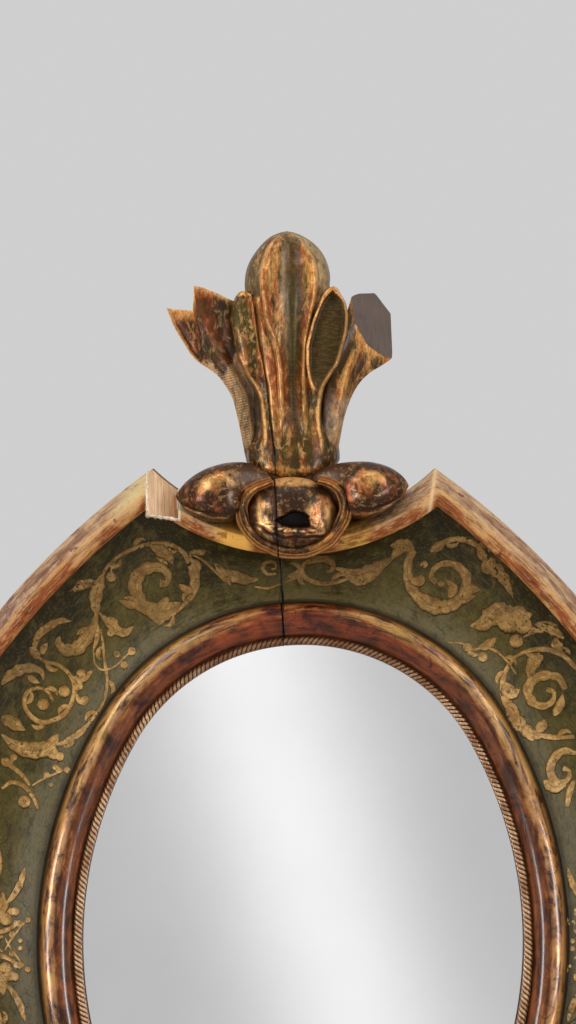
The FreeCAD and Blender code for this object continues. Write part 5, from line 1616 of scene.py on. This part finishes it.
def makeBoss(material):
    # a bulging dome with a ragged hollow, painted dark inside as painted shade, and small beads along the
    # hollow's lower lip
    s = bossShape
    ring = np.linspace(0.004, 1, 130)[:, None] ** 0.85
    turn = np.linspace(0, 2 * math.pi, 220, endpoint=False)[None, :]
    x = s["centre"][0] + s["half"][0] * ring * np.cos(turn)
    height = s["centre"][1] + s["half"][1] * ring * np.sin(turn)
    depth = blockFront + s["rise"] * held(1 - ring**2.4)**0.5 * np.ones_like(turn)
    u, v = (x - s["mouth"][0]) / s["mouthHalf"][0], (height - s["mouth"][1]) / s["mouthHalf"][1]
    around = np.arctan2(v, u)
    away = np.hypot(u, v) * (1 + 0.10 * np.sin(3 * around + 0.8) + 0.06 * np.sin(5 * around + 2)
        + 0.03 * np.sin(11 * around))
    mouth = ease(1.05, 0.72, away)
    lower = ease(0.15, -0.45, np.sin(around))
    bead = bump(away, 1.42, 0.24) * lower * np.abs(np.sin(around * s["beads"])) ** 0.7
    crest = bump(away, 1.85, 0.15) * lower
    groove = bump(away, 2.2, 0.18) * lower
    depth = depth - s["mouthDepth"] * mouth + s["lip"] * bead + 0.9 * crest - 1.3 * groove
    fold = bump(x, -16.5 - (height - 375) * 0.05, 1.6)
    depth = depth + 0.9 * bump(x, -14 - (height - 375) * 0.05, 1.5) - 1.4 * fold
    # gold on the beads and the lip; the spots right of the mouth and down its left side are also painted
    # highlights
    wear = held(bead * 0.7 + crest * 0.5 + 0.65 * bump(x, 18, 7) * bump(height, 381, 9)
        + 0.3 * bump(x, -24, 6))
    # painted shade: near black in the mouth, darker in the groove and the fold
    low = held(mouth * 1.2 + groove + 0.8 * fold)
    # pale gold along the top and two upright streaks down the sides: gilding and painted highlights
    edge = held(0.9 * ease(401, 405, height) * ease(26, 16, np.abs(x + 2))
        + bump(x, -30, 2.2) * bump(height, 378, 13)
        + 0.8 * bump(x, 29, 2.4) * bump(height, 380, 12))
    film = 1.6 * ease(382, 391, height) * ease(403, 399, height) * ease(28, 16, np.abs(x))
    marks = {"wear": wear, "hollow": low, "shell": film, "edge": edge, "pit": mouth}
    makePiece("boss_mouth", tubeMesh(toScene(x, height, depth), marks), [material], sharp=70,
        replaces=["crest_boss"])


collarShape = {
    # middle line of the band, from its right end round the foot of the boss to its left end
    "line": [(21, 407.8), (28, 406.4), (35.9, 402.9), (41.6, 397.2), (44.6, 389.4), (44.5, 378.9),
        (39.4, 366.6), (30.2, 355.2), (16.6, 347.4), (0.3, 344.5), (-16.2, 347.4), (-29.8, 354.4),
        (-39.4, 363.6), (-44.6, 374.1), (-45.7, 385.4), (-42.4, 394.6), (-35, 400.8), (-25.4, 404.7),
        (-19.2, 406.9)],
    "width": 12.5, "rise": 14, "endRise": 9,
}


def makeCollar(material):
    # a round band with a narrow bead along its inner edge, thinner towards its two ends
    s = collarShape
    count = 260
    line = curveThrough(s["line"], count)
    ends = np.minimum(np.arange(count), np.arange(count)[::-1]) / count
    tangent = headings(line)
    q = np.linspace(-1, 1, 37)[None, :]
    size = (0.62 + 0.38 * ease(0, 0.14, ends))[:, None]
    wide = held(1 - np.abs((q + 0.28) / 0.74)**2.2)**0.55
    narrow = 0.78 * held(1 - np.abs((q - 0.72) / 0.28)**2)**0.5
    tall = s["rise"] + s["endRise"] * ease(0.30, 0.10, ends)[:, None]
    rise = tall * (0.8 + 0.2 * size) * np.maximum(np.maximum(wide, narrow),
        0.62 * ease(1, 0.9, np.abs(q)) + 0.06)
    across = -s["width"] / 2 * size * q * (1 + 0.05 * np.sin(ends * 60))[:, None]
    x = line[:, :1] + tangent[:, 1:] * across
    height = line[:, 1:] - tangent[:, :1] * across
    x = np.concatenate([x, x[:, -1:], x[:, :1]], 1)
    height = np.concatenate([height, height[:, -1:], height[:, :1]], 1)
    flatBack = np.full((count, 1), blockFront - 0.5)
    depth = np.concatenate([blockFront + rise, flatBack, flatBack], 1)
    one, pad = np.ones((count, 1)), np.zeros((count, 2))
    # pale gold along the band's ridges: gilding and a painted highlight
    edge = bump(q, -0.85, 0.12) + bump(q, 0.72, 0.2) + 0.9 * bump(q, 0.30, 0.1)
    scroll = ease(0.17, 0.05, ends)[:, None]
    wear = np.concatenate([held(edge * 0.8 * one + 0.6 * scroll), pad], 1)
    # painted shade in the groove between the band and the bead
    low = np.concatenate([held(bump(q, 0.46, 0.07) * 0.7) * one, pad + 1], 1)
    film = np.concatenate([bump(q, -0.28, 0.3) * (1 - scroll), pad], 1)
    marks = {"wear": wear, "hollow": low, "shell": 0.4 * film,
        "edge": np.concatenate([0.7 * edge * one * (0.4 + 0.6 * scroll), pad], 1)}
    makePiece("boss_band", tubeMesh(toScene(x, height, depth), marks), [material], sharp=60,
        replaces=["crest_boss_collar"])


# One recipe for the gilt carvings, with each piece's own balance of gold, red and film
carvingGilt = {"bias": 0, "red": 0, "film": 0, "filmShare": 0.2, "rows": 0, "scale": 42, "flake": 0.5,
               "gloss": 0.06, "matte": 0.08, "metal": 0, "pull": (1, 1, 0.4), "joint": None,
               "dark": (58, 40, 16), "gold": (186, 130, 66), "bole": (140, 62, 28), "dull": (112, 92, 76)}
carvingTones = paints(edge=(222, 168, 104), green=(72, 62, 20), grey=(94, 78, 68), pale=(178, 152, 110),
                      pit=(22, 14, 8), rows=(104, 84, 46), joint=(20, 14, 10))


def makeCarvingGilt(name, **own):
    s, c = {**carvingGilt, **own}, carvingTones
    dark, gold, bole, dull = (paint(*s[key]) for key in ("dark", "gold", "bole", "dull"))
    material, where, shader = newMaterial(name)
    drawn = stretched(where, s["pull"])
    hollow = mark(where, "hollow")
    base, rough, gilt, height = placeGroup(
        agedGilt, ["colour", "roughness", "gilt", "height"], drawn, wear=mark(where, "wear"), hollow=hollow,
        gold=gold, bole=bole, dark=dark, dull=dull, scale=s["scale"], bias=s["bias"], boleBias=s["red"],
        dullBias=mark(where, "shell") * s["filmShare"] + s["film"])
    mottle = noise(drawn, 75, 6, 0.66)
    flakes = noise(drawn, 190, 8, 0.74, 0.5)
    lines = noise(stretched(where, (0.22, 0.22, 1)), 760, 3, 0.5)
    proud = calc("SUBTRACT", 1, hollow, clamp=True)
    colour = layered(
        base,
        # painted shade: darker where the hollow mark lies
        (ramp(hollow, 0.05, 1) * 0.8, dark),
        (mark(where, "green") * ramp(mottle, 0.36, 0.58, 0.1, 0.85), c["green"]),
        (mark(where, "grey") * ramp(mottle, 0.3, 0.55, 0.5, 0.95), c["grey"]),
        # painted highlight and sheen where the pale mark lies
        (mark(where, "pale") * ramp(mottle, 0.34, 0.56, 0.25, 0.85), c["pale"]),
        (mark(where, "red") * ramp(mottle, 0.62, 0.42, 0.05, 0.8), bole),
        # pale gold where the edge mark lies: rubbed gilding and a painted highlight
        (mark(where, "edge") * ramp(noise(where, 160, 5, 0.7), 0.3, 0.5), c["edge"]),
        (ramp(flakes, 0.52, 0.62) * (proud * s["flake"]), c["edge"]),
        (ramp(flakes, 0.5, 0.38) * (s["flake"] + 0.12), dark),
        (ramp(noise(where, 620, 4, 0.62), 0.56, 0.66) * (s["flake"] + 0.1), dark),
        # near black where the pit mark lies: painted shade in the boss's mouth, and a crack on the plume
        (mark(where, "pit"), c["pit"]),
        (ramp(lines, 0.46, 0.62) * (hollow * s["rows"]), c["rows"]),
    )
    height = height + lines * s["rows"]
    if s["joint"]:
        crack = placeGroup(jointLine, "line", where, **s["joint"])
        colour = mixed(crack, colour, c["joint"])
        height = height - crack * 2
    setShader(shader, height, 0.5, 0.001, colour=colour, roughness=rough + s["matte"],
              metallic=gilt * 0.3 + s["metal"], coat=s["gloss"], coatRoughness=0.22, specular=0.08)
    return material


sawnTones = paints(deep=(90, 76, 68), light=(102, 88, 80), stain=(106, 86, 74))


def makeSawnWood():
    material, where, shader = newMaterial("sawn dark wood")
    lines = noise(stretched(where, (3, 1, 0.35)), 220, 5, 0.6)
    colour = layered(mixed(ramp(lines, 0.34, 0.68), sawnTones["deep"], sawnTones["light"]),
                     (ramp(noise(where, 50, 3), 0.5, 0.7) * 0.5, sawnTones["stain"]))
    setShader(shader, lines, 0.2, 0.0004, colour=colour, roughness=0.62 + lines * 0.2, specular=0.25)
    return material


crackAt = {"spot": -0.0168, "height": ovalHeight + 0.40, "lean": -0.05, "width": 0.0010}
steep, plain = (1, 1, 0.5), (1, 1, 1)
backWood = makeWood("bare carved back", (140, 106, 72), (86, 60, 38), upright, 0.5)
makePlume([makeCarvingGilt(
    "plume gilding", bias=-0.065, red=0.05, film=-0.08, rows=0.35, dark=(56, 40, 12), gold=(216, 158, 86),
    dull=(110, 90, 58), pull=steep, gloss=0.14, matte=0.04, metal=0.06), backWood])
makeLeftLeaf([makeCarvingGilt(
    "left leaf gilding", bias=-0.05, red=0.05, film=-0.16, dark=(50, 32, 12), dull=(212, 174, 128), pull=steep,
    gloss=0.12), backWood])
makeSawnLeaf([makeCarvingGilt(
    "right leaf gilding", red=0.03, film=-0.12, filmShare=0.26, gold=(188, 134, 68), dull=(168, 140, 112),
    pull=steep, gloss=0.12), makeSawnWood()])
lobeGilt = makeCarvingGilt(
    "lobe gilding", bias=-0.1, red=0.03, film=-0.06, flake=0.3, dark=(56, 33, 15), gold=(200, 156, 90),
    dull=(70, 48, 34), scale=26, pull=(0.8, 1, 1), gloss=0.2, matte=0, metal=0.4)
for hand, _ in hands:
    makeLobe("lobe_" + hand, lobeGilt, "crest_lobe_" + hand)
makeBoss(makeCarvingGilt(
    "boss gilding", bias=-0.08, red=0.02, flake=0.22, dark=(54, 32, 15), gold=(216, 168, 110),
    dull=(40, 25, 14), scale=34, joint=crackAt, pull=plain, gloss=0.16, matte=0.03, metal=0.34))
makeCollar(makeCarvingGilt(
    "band gilding", bias=-0.04, red=0.02, film=-0.04, flake=0.3, dark=(62, 38, 20), dull=(92, 66, 44), scale=44,
    joint=crackAt, pull=plain, gloss=0.16, matte=0, metal=0.3))
print("crest ready")


# CAD nodes that keep their shape get their own finishes
ironTones = paints(dark=(46, 42, 40), light=(84, 78, 74), rust=(112, 62, 34))
glassTones = paints(cloudy=(246, 246, 246), clear=(252, 252, 252), foil=(74, 72, 70))


def makeIron():
    material, where, shader = newMaterial("forged iron")
    scale = noise(where, 180, 6, 0.65)
    rust = ramp(noise(where, 60, 6, 0.7), 0.46, 0.62)
    colour = layered(mixed(ramp(scale, 0.35, 0.65), ironTones["dark"], ironTones["light"]),
                     (rust * 0.8, ironTones["rust"]))
    setShader(shader, scale, 0.4, 0.0006, colour=colour, roughness=0.38 + rust * 0.4,
              metallic=0.85 - rust * 0.75)
    return material


def makeSilvering():
    # bright silver behind the plate, and dull grey foil on the rear face
    material, where, shader = newMaterial("silvered glass")
    cloud = noise(where, 5, 4, 0.6)
    foil = ramp(axes(where)[1], glassHigh.y - 0.0008, glassHigh.y - 0.0003)
    colour = layered(mixed(ramp(cloud, 0.3, 0.7), glassTones["cloudy"], glassTones["clear"]),
                     (foil, glassTones["foil"]))
    setShader(shader, colour=colour, roughness=cloud * 0.02 + ramp(foil, 0, 1, 0.015, 0.6), metallic=1)
    return material


glueJoints = [(2, ovalHeight), (0, seamPlace / 1000)]
plankEdges = [(0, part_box("back_plank_left")[1].x), (0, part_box("back_plank_right")[0].x)]
bodyWood = makeWood("bare frame wood", (192, 154, 114), (136, 100, 68), upright, 0.3, glueJoints, True)
boardWood = makeWood("back board", (168, 128, 88), (108, 76, 50), upright, 0.5, plankEdges, True)
paleBoardWood = makeWood("pale back board", (186, 148, 106), (130, 94, 62), (1.12, 1, 0.05), 0.35,
                         plankEdges, True)
darkBoardWood = makeWood("dark back board", (150, 112, 76), (96, 66, 42), (0.93, 1, 0.07), 0.5,
                         plankEdges, True)
keyWood = makeWood("key wood", (118, 84, 52), (70, 46, 27), level, 0.2)
finishes = [
    (bodyWood, ["frame_upper_left", "frame_upper_right", "frame_lower_left", "frame_lower_right"]),
    (boardWood, ["glazing_blocks", "back_plank_right", "crest_batten"]),
    (paleBoardWood, ["back_plank_centre"]),
    (darkBoardWood, ["back_plank_left"]),
    (keyWood, ["seam_dowels", "butterfly_keys", "crest_dowel"]),
    (makeIron(), ["back_nails", "batten_screws", "hanger_strap", "hanging_ring", "hanger_nails"]),
    (makeSilvering(), ["mirror_glass"]),
    (makeWood("block brown wood", (92, 66, 36), (56, 38, 20), level, 0.3), ["crest_block"]),
]
for material, nodes in finishes:
    for node in nodes:
        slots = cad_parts[node].data.materials
        slots.clear()
        slots.append(material)
print("finishes ready")


# Stage, light and camera
stageSet = {"background": 0.624, "ambient": 0.36, "floorSize": 3, "behind": 2.9, "floorGrey": 0.66,
            "floorGap": 0.0005}
cardSet = {"size": 1.5, "behindCamera": 0.4, "raise": 0.1, "glow": 0.52, "sheen": 0.42, "sheenWidth": 0.19,
           "sheenSlant": 0.30, "sheenMiddle": (-0.035, -0.039)}
lampSet = {  # place and aim from the oval's centre, width and height, power
    "key left": ((-1.9, -2, 1.9), (0, -0.05, 0.25), (1.1, 1.6), 50),
    "fill right": ((2, -1.9, 1.7), (0, -0.05, 0.25), (1.1, 1.6), 36),
    "top": ((0, -0.8, 2.4), (0, -0.05, 0.25), (1.8, 0.8), 14),
    "strip left": ((-1.5, -1.3, -0.12), (0, -0.05, -0.12), (0.34, 0.8), 28),
    "strip right": ((1.5, -1.3, -0.12), (0, -0.05, -0.12), (0.34, 0.8), 28),
}
cameraSet = {"distance": 4, "frameDepth": 0.055, "viewHeight": 0.896, "middle": (-0.00525, 0.37975),
             "sensor": 36}
cameraPlace = (cameraSet["middle"][0], -cameraSet["frameDepth"] - cameraSet["distance"],
               ovalHeight + cameraSet["middle"][1])


def addFlat(name, corners, order, material):
    mesh = bpy.data.meshes.new(name)
    mesh.from_pydata(corners, [], [order])
    mesh.materials.append(material)
    flat = bpy.data.objects.new(name, mesh)
    bpy.context.scene.collection.objects.link(flat)
    return flat


def makeFloor():
    s = stageSet
    size, behind, grey, low = s["floorSize"], s["behind"], s["floorGrey"], cadLow.z - s["floorGap"]
    material, _, shader = newMaterial("pale floor")
    setShader(shader, colour=(grey, grey, grey, 1), roughness=0.8)
    corners = [(-size, -size, low), (size, -size, low), (size, behind, low), (-size, behind, low)]
    addFlat("floor", corners, (0, 1, 2, 3), material)


def makeCard():
    # a soft card behind the camera, which the glass shows as its pale diagonal sheen: an even glow,
    # and a bell of light across a slanting line
    s = cardSet
    size, y, z = s["size"], cameraPlace[1] - s["behindCamera"], cameraPlace[2] + s["raise"]
    material = bpy.data.materials.new("card glow")
    material.use_nodes = True
    tree = material.node_tree
    tree.nodes.clear()
    x, _, height = axes(place(tree))
    middleX, middleHeight = s["sheenMiddle"]
    across = x - middleX + (height - (ovalHeight + middleHeight)) * s["sheenSlant"]
    fall = calc("POWER", calc("DIVIDE", across, s["sheenWidth"]), 2) * -1
    strength = s["glow"] + calc("EXPONENT", fall) * s["sheen"]
    glow = addNode(tree, "ShaderNodeEmission", {"Color": (1, 1, 1, 1), "Strength": strength})
    plug(tree.nodes.new("ShaderNodeOutputMaterial").inputs[0], glow)
    corners = [(-size, y, z - size), (size, y, z - size), (size, y, z + size), (-size, y, z + size)]
    card = addFlat("card", corners, (0, 3, 2, 1), material)
    card.visible_camera = card.visible_diffuse = card.visible_shadow = False


makeFloor()
makeCard()


def addLamp(name, start, aim, size, power):
    # the narrow strips light only the gloss along the moulding
    start, aim = (Vector((x, y, ovalHeight + z)) for x, y, z in (start, aim))
    lamp = bpy.data.lights.new(name, "AREA")
    lamp.shape = "RECTANGLE"
    lamp.size, lamp.size_y = size
    lamp.energy = power
    holder = bpy.data.objects.new(name, lamp)
    bpy.context.scene.collection.objects.link(holder)
    holder.location = start
    holder.visible_diffuse = not name.startswith("strip")
    holder.rotation_euler = (aim - start).to_track_quat("-Z", "Y").to_euler()


for name, lamp in lampSet.items():
    addLamp(name, *lamp)

world = bpy.context.scene.world or bpy.data.worlds.new("studio")
bpy.context.scene.world = world
world.use_nodes = True
sky = world.node_tree
sky.nodes.clear()
rays = [addNode(sky, "ShaderNodeLightPath", output=f"Is {kind} Ray")
        for kind in ("Camera", "Glossy", "Transmission")]
seen = calc("MAXIMUM", rays[0], calc("MAXIMUM", rays[1], rays[2]))
strength = ramp(seen, 0, 1, stageSet["ambient"], stageSet["background"])
background = addNode(sky, "ShaderNodeBackground", {"Color": (1, 1, 1, 1), "Strength": strength})
plug(sky.nodes.new("ShaderNodeOutputWorld").inputs[0], background)

camera = bpy.data.objects.new("camera", bpy.data.cameras.new("camera"))
bpy.context.scene.collection.objects.link(camera)
camera.location = cameraPlace
camera.rotation_euler = (math.pi / 2, 0, 0)
camera.data.sensor_width = cameraSet["sensor"]
camera.data.lens = cameraSet["sensor"] * cameraSet["distance"] / cameraSet["viewHeight"]
camera.data.clip_end = 100
bpy.context.scene.camera = camera
bpy.context.scene.view_settings.view_transform = "Standard"
print("stage ready")
